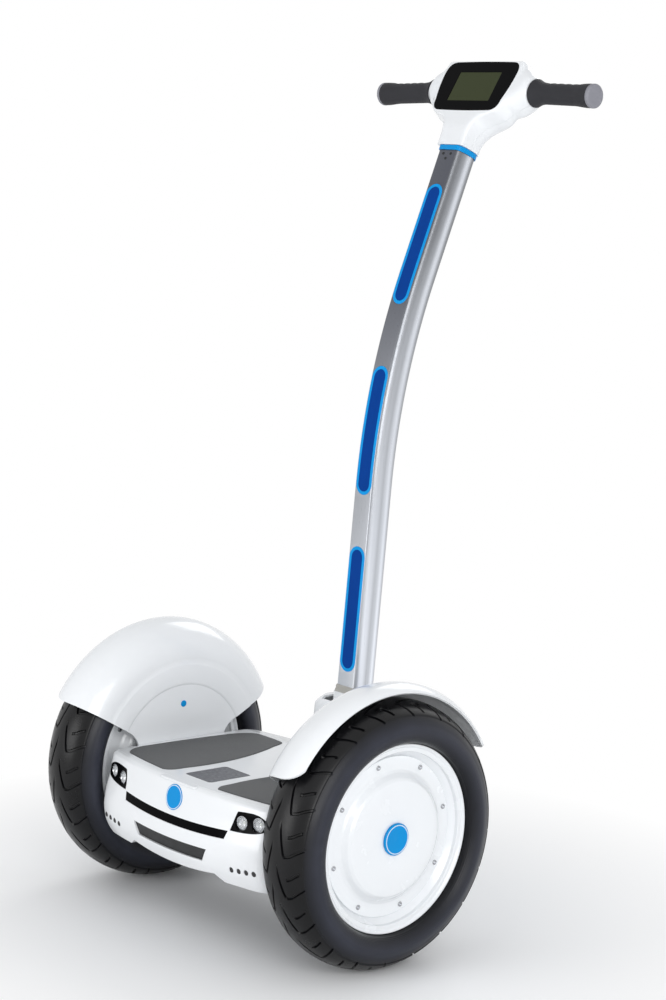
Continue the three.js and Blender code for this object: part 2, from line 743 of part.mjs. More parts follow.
const batteryBottom = frameFloor + gap;
const batteryRear = gap + frameWall - frameRear + overrun;
piece(scooter, 'battery_pack', plate(roundedRect(
  batteryHalfWidth, batteryLength / 2, cornerRadius / 4, 0, batteryRear + batteryLength / 2, 3,
), batteryBottom, batteryBottom + batteryHeight), blueLight);

// Motor controller: a finned heat sink on the battery
const controllerBottom = batteryBottom + batteryHeight + gap;
const controllerRear = batteryRear + (batteryLength - controllerLength) / 2;
let controller = block(
  -controllerHalfWidth, controllerHalfWidth, controllerRear, controllerRear + controllerLength,
  controllerBottom, controllerBottom + controllerHeight,
);
for (let k = 0; k < finCount; k += 1) {
  const x = THREE.MathUtils.lerp(-controllerHalfWidth, controllerHalfWidth - finWall, k / (finCount - 1));
  controller = join(controller, block(
    x, x + finWall, controllerRear, controllerRear + controllerLength,
    controllerBottom, controllerBottom + controllerHeight + controllerFin,
  ));
}
piece(scooter, 'motor_controller', controller, castMetal);

// Lean bracket, its pin and the rubber bush that centres the column
const earTop = pivotZ + earRadius;
function ear(y0) {
  const outline = shapeOf([
    [-bracketHalf / 2, bracketFloor + gap], [bracketHalf / 2, bracketFloor + gap],
    ...arcPoints(0, pivotZ, earRadius, earRadius, 0, 180, 8),
  ]);
  return frontPlate(outline, y0, y0 + earWidth);
}
const rearEar = pivotY - drumHalfLength - gap - earWidth;
const frontEar = pivotY + drumHalfLength + gap;
const bracketFront = frontEar + earWidth;
piece(scooter, 'lean_bracket', cut(
  join(
    block(-bracketHalf, bracketHalf, pedestalRear, bracketFront,
      bracketFloor + gap, bracketFloor + gap + bracketPlate),
    ear(rearEar), ear(frontEar),
  ),
  rodY(pinRadius + gap, rearEar - overrun, bracketFront + overrun, 0, pivotZ),
), steel);
const pinHead = bracketFront + gap + earWidth;
piece(scooter, 'lean_pin', join(
  rodY(pinRadius, rearEar, pinHead, 0, pivotZ),
  rodY(pinRadius + earWidth, bracketFront + gap, pinHead, 0, pivotZ, 6),
), steel);
const bushRadius = pinRadius + gap + bushWall;
piece(scooter, 'lean_bush', cut(
  rodY(bushRadius, pivotY - drumHalfLength, pivotY + drumHalfLength, 0, pivotZ, 16),
  rodY(pinRadius + gap, rearEar, bracketFront, 0, pivotZ, 16),
), gripRubber);

// Fender: the disc, its stepped ring, the shoulder and the lip, revolved and then trimmed
function fenderProfile(inset) {
  const shoulderX = fenderCrownX - fenderPlane;
  const shoulderR = fenderCrownRadius - fenderRise;
  const disc = fenderPlane + inset;
  const ring = disc - ringStepHeight;
  const shoulder = arcPoints(
    fenderCrownX, fenderRise, shoulderX - inset, shoulderR - inset, 180, 90, 4,
  ).map((p) => [p.y, p.x]);
  const lip = arcPoints(
    fenderCrownX, fenderCrownRadius - fenderLipRadius, fenderLipRadius - inset,
    fenderLipRadius - inset, 90, 90 - fenderLipTurn, 2,
  ).slice(1).map((p) => [p.y, p.x]);
  const step = inset ? [] : [
    [ringStepInner - ringStepSlope, disc], [ringStepInner, ring],
    [ringStepOuter - ringStepSlope, ring], [ringStepOuter, disc],
  ];
  return [[0, disc], ...step, ...shoulder, ...lip];
}

const fenderRound = turned([...fenderProfile(0), ...fenderProfile(fenderWall).reverse()], 40);
const beyond = fenderCrownRadius + overrun;
const ray = (angle, r) => [r * Math.cos(rad(angle)), r * Math.sin(rad(angle))];
const tabCorner = (angle) => fenderTabHalf / Math.abs(Math.cos(rad(angle)));
const rearAngle = 180 - fenderRearCut;
const fenderSide = shapeOf([
  ...ringOfCurves([
    [[fenderTabHalf, -fenderTabDrop + fenderFillet], [fenderTabHalf, 0],
      [fenderTabHalf, fenderTabHalf * Math.tan(rad(fenderFrontCut)) - fenderFillet]],
    [[fenderTabHalf, fenderTabHalf * Math.tan(rad(fenderFrontCut)) - fenderFillet],
      ray(fenderFrontCut, tabCorner(fenderFrontCut)),
      ray(fenderFrontCut, tabCorner(fenderFrontCut) + fenderFillet)],
  ], 5),
  ray(fenderFrontCut, tabCorner(fenderFrontCut) + fenderFillet),
  ...arcPoints(0, 0, beyond, beyond, fenderFrontCut, rearAngle, 6),
  ...ringOfCurves([
    [ray(rearAngle, tabCorner(rearAngle) + fenderFillet), ray(rearAngle, tabCorner(rearAngle)),
      [-fenderTabHalf, fenderTabHalf * Math.tan(rad(fenderRearCut)) - fenderFillet]],
    [[-fenderTabHalf, fenderTabHalf * Math.tan(rad(fenderRearCut)) - fenderFillet],
      [-fenderTabHalf, 0], [-fenderTabHalf, -fenderTabDrop + fenderFillet]],
    [[-fenderTabHalf, -fenderTabDrop + fenderFillet], [-fenderTabHalf, -fenderTabDrop],
      [-fenderTabHalf + fenderFillet, -fenderTabDrop]],
    [[-fenderTabHalf + fenderFillet, -fenderTabDrop], [0, -fenderTabDrop],
      [fenderTabHalf - fenderFillet, -fenderTabDrop]],
    [[fenderTabHalf - fenderFillet, -fenderTabDrop], [fenderTabHalf, -fenderTabDrop],
      [fenderTabHalf, -fenderTabDrop + fenderFillet]],
  ], 5),
]);

// Rounds the outer corner at one end of the fender; the cutter points along the cut.
function cornerTrim(angle, along) {
  const lipX = fenderCrownX + fenderLipRadius * Math.sin(rad(fenderLipTurn));
  const outer = lipX + overrun;
  const start = lipX - fenderTrimWidth;
  const shape = shapeOf([
    [outer, -overrun], [start - overrun, -overrun], [start, 0],
    ...ringOfCurves([[[start, 0], [lipX, 0], [lipX, fenderTrimLength]]], 6),
    [lipX, fenderTrimLength], [outer, fenderTrimLength],
  ]);
  const cutter = solid(flatExtrusion(shape, beyond - tyreWaistRadius)
    .translate(0, 0, tyreWaistRadius).scale(1, along, 1));
  return placed(cutter, 0, 0, 0, rad(angle - 90));
}

const fenderLevel = common(fenderRound, sidePlate(
  fenderSide, fenderPlane - ringStepHeight - overrun, halfTrack + tyreHalfWidth,
));
const fender = placed(cut(
  fenderLevel,
  rodX(axleHole, fenderPlane - overrun, fenderPlane + overrun + fenderWall),
  cornerTrim(fenderFrontCut, -1), cornerTrim(rearAngle, 1),
), 0, 0, tyreRadius);
piece(scooter, 'fender_right', fender, whiteShell);
piece(scooter, 'fender_left', mirrored(fender), whiteShell);

// Wheels: every piece is made about the wheel's own centre, X outwards, and mirrored for the left
const coverFace = rimHalfWidth - dishDepth;
const domeFace = coverFace + domeRise;
const coverBack = coverFace - hubCoverWall;

const across = (points) => points.map((p) => new THREE.Vector2(-p.x, p.y)).reverse();

function tyreOutline() {
  const bead = rimHalfWidth - rimLip - gap;
  const crown = tyreRadius - tyreWaistRadius;
  const flank = new THREE.QuadraticBezierCurve(
    new THREE.Vector2(tyreHalfWidth, tyreWaistRadius),
    new THREE.Vector2(tyreHalfWidth, rimFlangeRadius + overrun),
    new THREE.Vector2(bead, rimFlangeRadius + gap),
  ).getPoints(1).slice(1);
  const outer = [
    ...arcPoints(0, tyreWaistRadius, tyreHalfWidth, crown, 90, 0, 4), ...flank,
    new THREE.Vector2(bead, beadRadius),
  ];
  const inner = [
    new THREE.Vector2(bead - tyreWall, beadRadius),
    ...arcPoints(0, tyreWaistRadius, tyreHalfWidth - tyreWall, crown - tyreWall, 0, 90, 2),
  ];
  return [...outer, ...inner, ...across(inner).slice(1), ...across(outer).slice(0, -1)];
}

function rimOutline() {
  const bead = rimHalfWidth - rimLip;
  const seat = beadRadius - gap;
  const face = [
    [seat, bead],
    [rimFlangeRadius, bead], [rimFlangeRadius, rimHalfWidth],
    [rimFlangeRadius - rimLip, rimHalfWidth], [hubCoverRadius + rimLip + gap, coverFace],
    [hubCoverRadius + gap, coverBack - gap], [rimRingRadius, coverBack - gap],
  ];
  return [...face, ...face.slice().reverse().map(([r, x]) => [r, -x])];
}

// A hub cover with its raised dome: boss holds the [radius, x] points of its centre
const coverSolid = (boss) => turned([
  ...boss, [domeTopRadius, domeFace], [domeFootRadius, coverFace],
  [hubCoverRadius, coverFace], [hubCoverRadius, coverBack],
  [domeFootRadius - hubCoverWall, coverBack],
  [domeTopRadius - hubCoverWall, domeFace - hubCoverWall],
  [boss[0][0], domeFace - hubCoverWall],
], wheelSegments);

const tyre = turned(tyreOutline().map((p) => [p.y, p.x]), wheelSegments);
const rim = turned(rimOutline(), wheelSegments);
const outerCover = coverSolid([[hubCapRadius / 2, domeFace]]);
const capFoot = domeFace + gap;
const hubCap = turned([
  [0, domeFace - hubCoverWall], [hubCapRadius / 2 - gap, domeFace - hubCoverWall],
  [hubCapRadius / 2 - gap, capFoot], [hubCapRadius, capFoot],
  [hubCapRadius, capFoot + hubCapHeight / 2], [hubCapRadius - hubCapHeight / 2, capFoot + hubCapHeight],
  [0, capFoot + hubCapHeight],
], 16);
const bearingOuter = domeFace - hubCoverWall + bearingWidth;
const innerCover = coverSolid([
  [bearingRadius + gap, bearingOuter], [bearingRadius + hubCoverWall, bearingOuter],
  [bearingRadius + hubCoverWall, domeFace],
]);
const bearing = turned([
  [axleRadius + gap, bearingOuter - bearingWidth], [axleRadius + gap, bearingOuter],
  [bearingRadius, bearingOuter], [bearingRadius, bearingOuter - bearingWidth],
], 16);
const stator = turned([
  [axleRadius + gap, -statorHalfWidth], [axleRadius + gap, statorHalfWidth],
  [statorRadius, statorHalfWidth], [statorRadius, -statorHalfWidth],
], 16);

for (const [side, word] of [[1, 'right'], [-1, 'left']]) {
  const wheel = new THREE.Group();
  wheel.position.set(side * halfTrack, 0, tyreRadius);
  scooter.add(wheel);
  const onSide = (body) => (side > 0 ? body : mirrored(body));
  piece(wheel, `tyre_${word}`, onSide(tyre), tyreRubber);
  piece(wheel, `rim_${word}`, onSide(rim), whiteShell);
  piece(wheel, `hub_cover_outer_${word}`, onSide(outerCover), whiteShell);
  piece(wheel, `hub_cover_inner_${word}`, onSide(mirrored(innerCover)), whiteShell);
  piece(wheel, `hub_cap_${word}`, onSide(hubCap), blueGloss);
  piece(wheel, `wheel_bearing_${word}`, onSide(mirrored(bearing)), steel);
  const axle = rodX(axleRadius, axleInnerEnd - halfTrack, coverFace);
  piece(wheel, `axle_${word}`, onSide(axle), steel);
  piece(wheel, `motor_stator_${word}`, onSide(stator), castMetal);

  const clampOuter = frameHalfWidth - frameWall - gap;
  const axleClamp = cut(
    block(clampOuter - clampWidth, clampOuter, -clampHalfLength, clampHalfLength,
      frameFloor + gap, tyreRadius + clampCrown),
    placed(rodX(axleRadius + gap, 0, outside), 0, 0, tyreRadius),
  );
  piece(scooter, `axle_clamp_${word}`, onSide(axleClamp), castMetal);
}

// Charging socket's flap, hinged above the socket, and the power button
const flap = new THREE.Group();
flap.position.set(fittingX, socketMouth + gap + flapThickness / 2, fittingZ + flapRadius + flapPin);
scooter.add(flap);
piece(flap, 'charge_flap', join(
  rodY(flapRadius, -flapThickness / 2, flapThickness / 2, 0, -flapRadius - flapPin),
  block(-flapRadius / 2, flapRadius / 2, -flapThickness / 2, flapThickness / 2, -flapRadius, 0),
  rodX(flapThickness / 2, -flapRadius / 2, flapRadius / 2, 10),
), gripRubber);

const button = new THREE.Group();
button.position.set(-fittingX, fittingSkin, fittingZ);
scooter.add(button);
piece(button, 'power_button', rodY(
  buttonRadius, -buttonLength / 2, buttonProud, 0, 0,
), blueGloss);

// Steering column: a centre line of straight, arc and straight in the plane x = 0
const poleLength = poleLowLength + poleBendRadius * rad(poleBend) + poleHighLength;
function poleStation(s) {
  const lowTurn = rad(poleLowLean);
  const bendLength = poleBendRadius * rad(poleBend);
  const low = Math.min(s, poleLowLength);
  const arc = THREE.MathUtils.clamp(s - poleLowLength, 0, bendLength);
  const high = Math.max(s - poleLowLength - bendLength, 0);
  const turn = lowTurn + arc / poleBendRadius;
  return {
    turn,
    y: low * Math.sin(lowTurn) + high * Math.sin(turn)
      + poleBendRadius * (Math.cos(lowTurn) - Math.cos(turn)),
    z: low * Math.cos(lowTurn) + high * Math.cos(turn)
      + poleBendRadius * (Math.sin(turn) - Math.sin(lowTurn)),
  };
}

// A stretch of the centre line; its sections are drawn with x to the left and y to the rear.
class PoleCurve extends THREE.Curve {
  constructor(from, to) {
    super();
    this.from = from;
    this.to = to;
  }

  getPoint(t, target = new THREE.Vector3()) {
    const { y, z } = poleStation(THREE.MathUtils.lerp(this.from, this.to, t));
    return target.set(0, y, z);
  }
}

const alongPole = (shape, from, to, steps) => solid(new THREE.ExtrudeGeometry(shape, {
  steps, extrudePath: new PoleCurve(from, to),
}));

// The pole's section: flat to the rear, with bowed flanks and a round-cornered front
function poleSection(growth, steps = 3) {
  const [half, depth] = [poleWidth / 2 + growth, poleDepth / 2 + growth];
  const nose = poleNose + growth;
  const flank = half - poleFace;
  return shapeOf([
    [poleFace, depth], [-poleFace, depth],
    ...arcPoints(-poleFace, 0, flank, depth, 90, 180, steps).slice(1),
    ...arcPoints(nose - half, nose - depth, nose, nose, 180, 270, 3),
    ...arcPoints(half - nose, nose - depth, nose, nose, 270, 360, 3),
    ...arcPoints(poleFace, 0, flank, depth, 0, 90, steps).slice(0, -1),
  ]);
}

const column = new THREE.Group();
column.position.set(0, pivotY, pivotZ);
scooter.add(column);

const poleTube = poleSection(0);
poleTube.holes.push(new THREE.Path(softRing(
  poleWidth / 2 - poleWall, poleWall - poleDepth / 2, poleDepth / 2 - poleWall, poleDepth / 4, 0, 1,
).reverse()));
const poleStart = socketFloor + gap;
let pole = alongPole(poleTube, poleStart, poleLength, 10);
const rearFace = poleDepth / 2;
stripStartShares.forEach((share, k) => {
  const from = poleLength * share;
  const low = poleStation(from);
  const high = poleStation(from + stripLength);
  const rise = (high.z - low.z) / 2;
  const middle = (high.z + low.z) / 2;
  const windowShape = (growth) => roundedRect(
    stripHalfWidth + growth, rise + growth, stripHalfWidth - gap + growth, 0, middle, 6,
  );
  const band = (y0, y1, half) => shapeOf([[-half, y0], [half, y0], [half, y1], [-half, y1]]);
  const reach = high.y + poleDepth;
  const through = (growth) => frontPlate(windowShape(growth), -poleDepth, reach);
  const slack = stripHalfWidth / 2;
  pole = cut(pole, common(
    alongPole(
      band(rearFace - stripRecess, rearFace + overrun, stripHalfWidth + slack / 2),
      from - slack, from + stripLength + slack, 5,
    ), through(gap),
  ));
  const inner = rearFace - stripRecess + gap;
  piece(column, `light_strip_${['lower', 'middle', 'upper'][k]}`, common(
    alongPole(
      band(inner, inner + stripThickness, stripHalfWidth + slack / 2),
      from - slack, from + stripLength + slack, 5,
    ), through(0),
  ), blueLight);
});
piece(column, 'pole', pole, silver);

const bendEnd = poleLowLength + poleBendRadius * rad(poleBend);
const ringFoot = bendEnd + ringStation;
const ringShape = poleSection(ringWall);
ringShape.holes.push(new THREE.Path(poleSection(gap).getPoints().reverse()));
piece(column, 'collar_ring', alongPole(ringShape, ringFoot, ringFoot + ringHeight, 1), blueGloss);

// Lean drum: turns on the pin and carries the pole in a square collar
const poleHole = alongPole(poleSection(gap), socketFloor, socketHeight + overrun, 1);
piece(column, 'lean_drum', cut(
  join(
    rodY(drumRadius, -drumHalfLength, drumHalfLength, 0, 0, 24),
    alongPole(poleSection(socketWall), socketFloor - overrun, socketHeight, 1),
  ),
  rodY(bushRadius + gap, -drumHalfLength - overrun, drumHalfLength + overrun, 0, 0),
  poleHole,
), castMetal);

// Head: lofted along the display plane, split into a rear and a front shell
const head = new THREE.Group();
const tilt = rad(headTilt);
const poleEnd = poleStation(poleLength);
head.position.set(
  0,
  poleEnd.y - headSetback * Math.cos(tilt) + headRise * Math.sin(tilt),
  poleEnd.z + headSetback * Math.sin(tilt) + headRise * Math.cos(tilt),
);
head.rotation.x = -tilt;
column.add(head);

// A ring of the head: flat to the rear, round to the front, its front lifted by the given slope
function headRing(rearHalf, half, y0, y1, corner, z, slope) {
  const middle = (y0 + y1) / 2;
  const nose = half * headNoseShare;
  return ringOfCurves([
    [[rearHalf, y0 + corner], [half, middle]], [[half, middle], [half, y1], [nose, y1]],
    [[nose, y1], [-nose, y1]], [[-nose, y1], [-half, y1], [-half, middle]],
    [[-half, middle], [-rearHalf, y0 + corner]],
    [[-rearHalf, y0 + corner], [-rearHalf, y0], [-rearHalf + corner, y0]],
    [[-rearHalf + corner, y0], [rearHalf - corner, y0]],
    [[rearHalf - corner, y0], [rearHalf, y0], [rearHalf, y0 + corner]],
  ], 2).map((p) => new THREE.Vector3(p.x, p.y, z + slope * (p.y - y0)));
}

// The neck wraps the pole, which leans across the display plane, and swells into the display's pod
const sleeve = (poleDepth / 2 + headWall + gap) / Math.cos(tilt - poleEnd.turn);
const sleeveCentre = (z) => headSetback - (z + headRise) * Math.tan(tilt - poleEnd.turn);
function neckAndPod(inset) {
  const rings = headLevelShares.map((share, k) => {
    const z = share < 0 ? share * headFoot : share * (headTop - inset);
    const rear = Math.max(-headRear, sleeveCentre(z) - sleeve);
    const front = share < 0 ? Math.max(headFrontDepth * headFrontShares[k], sleeveCentre(z) + sleeve)
      : headFrontDepth * headFrontShares[k];
    return headRing(
      podHalfWidth * headRearShares[k] - inset, podHalfWidth * headWidthShares[k] - inset,
      rear + inset, front - inset, headCorner - inset, z - (inset && k === 0 ? overrun : 0),
      headLevellingShares[k] * Math.tan(tilt),
    );
  });
  return loft(rings);
}

// The cross hub that carries the bar, from grip to grip
function crossHub(inset) {
  const rings = hubStationShares.map((share, k) => {
    const radius = hubRadius * hubRadiusShares[k] - inset;
    const depth = Math.min(radius, headRear - gap - inset);
    return softRing(radius, -depth, depth, depth, share * (headHalfWidth - inset), 3);
  });
  return loft(rings.map((ring) => ring.map((p) => new THREE.Vector3(p.z, p.y, p.x))));
}

const headForm = (inset) => join(neckAndPod(inset), crossHub(inset));

const intoHead = (body) => {
  const matrix = head.matrix.clone().compose(head.position, head.quaternion, head.scale).invert();
  return solid(geometryOf(body).applyMatrix4(matrix));
};
const poleThrough = intoHead(alongPole(poleSection(gap), ringFoot, poleLength + overrun, 1));
const ringThrough = intoHead(alongPole(
  poleSection(ringWall + gap), ringFoot - ringHeight, ringFoot + ringHeight + gap, 1,
));
const barHole = rodX(tubeRadius + gap, -headHalfWidth - overrun, headHalfWidth + overrun);

function glassShape(growth) {
  const corner = glassCorner + growth;
  const [top, bottom] = [glassTopHalf + growth, glassBottomHalf + growth];
  const [z1, z0] = [glassCentre + glassHalfHeight + growth, glassCentre - glassHalfHeight - growth];
  const side = (top + bottom) / 2 + growth + glassCorner / 6;
  const middle = glassCentre;
  return shapeOf(ringOfCurves([
    [[bottom, z0 + corner], [side, middle], [top, z1 - corner]],
    [[top, z1 - corner], [top, z1], [top - corner, z1]],
    [[top - corner, z1], [0, z1 + overrun / 2], [-top + corner, z1]],
    [[-top + corner, z1], [-top, z1], [-top, z1 - corner]],
    [[-top, z1 - corner], [-side, middle], [-bottom, z0 + corner]],
    [[-bottom, z0 + corner], [-bottom, z0], [-bottom + corner, z0]],
    [[-bottom + corner, z0], [0, z0 - overrun / 2], [bottom - corner, z0]],
    [[bottom - corner, z0], [bottom, z0], [bottom, z0 + corner]],
  ], 5));
}

const glassBack = glassThickness - headRear;
const lcdBack = glassBack + gap + lcdThickness;
const lcdShape = (growth) => roundedRect(
  lcdHalfWidth + growth, lcdHalfHeight + growth, lcdThickness / 2 + growth, 0, glassCentre, 2,
);
const headShell = join(
  cut(headForm(0), headForm(headWall)),
  common(headForm(headWall / 2), block(
    -headHalfWidth, headHalfWidth, -headRear - overrun, -headRear + bezelDepth,
    glassCentre - glassHalfHeight - overrun, headTop + overrun,
  )),
);
const headBored = cut(
  headShell, poleThrough, ringThrough, barHole,
  frontPlate(glassShape(gap), -headRear - overrun, glassBack + gap),
  frontPlate(lcdShape(gap), -headRear - overrun, -headRear + bezelDepth + overrun),
);
const headBelow = -headFoot - poleDepth;
const headAbove = headTop + headFrontDepth + headRear;
const headBeyond = headHalfWidth + overrun;
const seamPlane = 0;
piece(head, 'head_rear_shell', common(headBored, block(
  -headBeyond, headBeyond, -headRear - overrun, seamPlane - gap / 2, headBelow, headAbove,
)), whiteShell);
piece(head, 'head_front_shell', common(headBored, block(
  -headBeyond, headBeyond, seamPlane + gap / 2, headFrontDepth + overrun, headBelow, headAbove,
)), whiteShell);
piece(head, 'display_glass', frontPlate(glassShape(0), -headRear, glassBack), blackGloss);
piece(head, 'lcd_module', frontPlate(lcdShape(0), glassBack + gap, lcdBack), lcdGlass);

// One drooping end of the bar; the grips are drawn along it from its own start
const drooped = (body) => placed(body, gripStart, 0, 0, 0, rad(gripDroop));
function barRod(radius, reach) {
  const end = drooped(rodX(radius, 0, reach, 12));
  const middle = gripStart + gap + gap;
  return join(rodX(radius, -middle, middle, 12), end, mirrored(end));
}
piece(head, 'handlebar_tube', cut(
  barRod(tubeRadius, gripLength), barRod(tubeRadius - tubeWall, gripLength + overrun),
), steel);

// Grips: a flared flange by the head, a ribbed waist and a wider tail
function gripBody() {
  const stations = Array.from({ length: 13 }, (_, i) => i / 12);
  const rings = stations.map((t) => {
    const flare = Math.max(0, 1 - t / 0.16) ** 2;
    const tail = THREE.MathUtils.smoothstep(t, 0.72, 1);
    const ripple = t > 0.2 && t < 0.72 ? (tubeWall / 3) * Math.cos(Math.PI * 12 * t) : 0;
    const high = gripWaist + (gripFlange - gripWaist) * flare + (gripTail - gripWaist) * tail;
    const ring = softRing(high - ripple / 2, -high, high, high * 0.9, gripLength * t);
    return ring.map((p) => new THREE.Vector3(p.z, p.y, p.x));
  });
  return cut(loft(rings), rodX(tubeRadius + gap, -overrun, gripLength + overrun, 12));
}
const capStart = gripLength + gap;
const capEnd = gripLength + gripCapLength;
const grip = drooped(gripBody());
const gripCap = drooped(turned([
  [0, capStart], [gripTail, capStart], [gripTail, capEnd - tubeWall],
  [gripTail - tubeWall, capEnd], [0, capEnd],
], 16));
for (const [side, word] of [[1, 'right'], [-1, 'left']]) {
  const onSide = (body) => (side > 0 ? body : mirrored(body));
  piece(head, `grip_${word}`, onSide(grip), gripRubber);
  piece(head, `grip_cap_${word}`, onSide(gripCap), finish(0x85858f, 0.6));
}

// The origin is on the ground, under the middle of the scooter's outline.
const outline = new THREE.Box3().setFromObject(scooter, true);
scooter.position.y = -(outline.min.y + outline.max.y) / 2;
scooter.updateMatrixWorld(true);

export default scooter;
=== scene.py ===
import math

import bmesh
import bpy
from bpy.props import FloatProperty, FloatVectorProperty, IntProperty, PointerProperty
from mathutils import Matrix, Vector


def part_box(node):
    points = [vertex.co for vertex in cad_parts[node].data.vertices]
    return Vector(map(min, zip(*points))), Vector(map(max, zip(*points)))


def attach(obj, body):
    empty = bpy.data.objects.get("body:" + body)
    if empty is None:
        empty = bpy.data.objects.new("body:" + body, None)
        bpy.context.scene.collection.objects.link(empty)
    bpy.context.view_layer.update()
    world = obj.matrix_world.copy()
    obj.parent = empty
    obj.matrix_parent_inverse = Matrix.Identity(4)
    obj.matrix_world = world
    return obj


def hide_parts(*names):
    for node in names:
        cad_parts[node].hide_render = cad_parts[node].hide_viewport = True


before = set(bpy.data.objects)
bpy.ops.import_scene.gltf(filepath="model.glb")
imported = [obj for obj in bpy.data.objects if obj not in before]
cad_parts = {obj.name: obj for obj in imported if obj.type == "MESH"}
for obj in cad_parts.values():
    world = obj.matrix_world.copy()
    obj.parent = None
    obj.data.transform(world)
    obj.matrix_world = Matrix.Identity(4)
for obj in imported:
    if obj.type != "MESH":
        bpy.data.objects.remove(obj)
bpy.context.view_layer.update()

bl_info = {
    "name": "Standing scooter",
    "version": (1, 0, 0),
    "blender": (4, 5, 0),
    "location": "3D View > Sidebar > Scooter",
    "description": "Dresses the frame of a two-wheeled self-balancing scooter with its finished pieces",
    "category": "Add Mesh",
}

# Forms are worked out in millimetres with the wheel axis over y = 0, then placed in the frame
MM = 0.001
TYRE_LOW, TYRE_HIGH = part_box("tyre_right")
WHEEL = (TYRE_LOW + TYRE_HIGH) / 2
PLACE = Matrix.Translation((0, WHEEL.y, 0)) @ Matrix.Scale(MM, 4)
SIDES = ((1, "right"), (-1, "left"))
OVERRUN = 4.0                # how far a cutter reaches past what it cuts
GAP = 0.3                    # clearance between neighbouring pieces


# Outlines

def arc(cx, cy, rx, ry, start, end, count):
    """Points on an elliptical arc, angles in degrees."""
    turns = [math.radians(start + (end - start) * i / count) for i in range(count + 1)]
    return [(cx + rx * math.cos(a), cy + ry * math.sin(a)) for a in turns]


def bend(a, b, c, count):
    """Points of a quadratic curve from a towards b to c, its end left out."""
    shares = [i / count for i in range(count)]
    return [tuple((1 - t) ** 2 * p + 2 * t * (1 - t) * q + t * t * r for p, q, r in zip(a, b, c))
            for t in shares]


def ring_of(curves, count):
    """One ring of points from quadratic curves; a straight stretch is given by its two ends."""
    ring = []
    for curve in curves:
        ring += bend(*curve[:3], curve[3] if len(curve) > 3 else count) if len(curve) > 2 else curve[:1]
    return ring


def rounded(points, radius, count):
    """A polygon with each corner turned into a small arc."""
    ring = []
    for k, corner in enumerate(points):
        corner = Vector(corner)
        ends = []
        for other in (Vector(points[k - 1]), Vector(points[(k + 1) % len(points)])):
            side = other - corner
            ends.append(corner + side * min(radius / max(side.length, radius), 0.5))
        ring += bend(ends[0], corner, ends[1], count) + [tuple(ends[1])]
    return ring


def turned(points, radius, count, steps):
    """A form turned from a profile that starts and ends on the axis, with its corners rounded."""
    return spun([(max(r, 0), x) for r, x in rounded(points, radius, count)], steps)


def soft_ring(half, y0, y1, corner, count=8):
    """A rectangle from y0 to y1 with its corners drawn as quadratic curves."""
    c = min(corner, half, (y1 - y0) / 2)
    return ring_of([
        [(half, y0 + c), (half, y1 - c)], [(half, y1 - c), (half, y1), (half - c, y1)],
        [(half - c, y1), (-half + c, y1)], [(-half + c, y1), (-half, y1), (-half, y1 - c)],
        [(-half, y1 - c), (-half, y0 + c)], [(-half, y0 + c), (-half, y0), (-half + c, y0)],
        [(-half + c, y0), (half - c, y0)], [(half - c, y0), (half, y0), (half, y0 + c)],
    ], count)


def in_box(curves, x0, x1, y0, y1):
    """A ring drawn in shares of a box."""
    return ring_of([[(x0 + (x1 - x0) * u, y0 + (y1 - y0) * v) for u, v in curve] for curve in curves], 10)


def smooth_table(levels, values, level):
    """A value read off a table along a smooth curve through its rows."""
    last = len(levels) - 1
    k = next((i for i in range(1, last) if levels[i] >= level), last)
    step = levels[k] - levels[k - 1]
    t = min(max((level - levels[k - 1]) / step, 0), 1)

    def rise(i):
        i = min(max(i, 0), last - 1)
        return (values[i + 1] - values[i]) / (levels[i + 1] - levels[i])

    def slope(i):
        before, after = rise(i - 1), rise(i)
        return 0 if before * after <= 0 else 2 * before * after / (before + after)

    m0, m1 = slope(k - 1) * step, slope(k) * step
    return ((2 * t ** 3 - 3 * t ** 2 + 1) * values[k - 1] + (t ** 3 - 2 * t ** 2 + t) * m0
            + (3 * t ** 2 - 2 * t ** 3) * values[k] + (t ** 3 - t ** 2) * m1)


# Solid forms

def closed(form):
    bmesh.ops.remove_doubles(form, verts=form.verts, dist=0.001)
    bmesh.ops.dissolve_degenerate(form, edges=form.edges, dist=0.001)
    bmesh.ops.recalc_face_normals(form, faces=form.faces)
    return form


def spun(profile, steps):
    """A closed profile of (radius, x) points turned about the X axis."""
    form = bmesh.new()
    verts = [form.verts.new((x, r, 0)) for r, x in profile]
    edges = [form.edges.new(pair) for pair in zip(verts, verts[1:] + verts[:1])]
    bmesh.ops.spin(form, geom=verts + edges, cent=(0, 0, 0), axis=(1, 0, 0), angle=2 * math.pi,
                   steps=steps, use_merge=True)
    return closed(form)


def lofted(rings):
    """A skin over a stack of rings of points, closed at both ends."""
    form = bmesh.new()
    loops = []
    for ring in rings:
        verts = [form.verts.new(p) for p in ring]
        loops.append([form.edges.new(pair) for pair in zip(verts, verts[1:] + verts[:1])])
    for lower, upper in zip(loops, loops[1:]):
        bmesh.ops.bridge_loops(form, edges=lower + upper)
    for end in (loops[0], loops[-1]):
        bmesh.ops.edgeloop_fill(form, edges=end)
    return closed(form)


AXES = {
    "X": lambda u, v, w: (w, u, v),
    "Y": lambda u, v, w: (u, w, v),
    "Z": lambda u, v, w: (u, v, w),
}


def slab(outline, axis, start, end):
    """A flat outline given thickness along one axis."""
    form = bmesh.new()
    face = form.faces.new([form.verts.new(AXES[axis](u, v, start)) for u, v in outline])
    extruded = bmesh.ops.extrude_face_region(form, geom=[face])["geom"]
    raised = [g for g in extruded if isinstance(g, bmesh.types.BMVert)]
    bmesh.ops.translate(form, verts=raised, vec=Vector(AXES[axis](0, 0, end - start)))
    return closed(form)


def rod(axis, radius, start, end, u=0.0, v=0.0, count=48):
    return slab(arc(u, v, radius, radius, 0, 360, count)[:-1], axis, start, end)


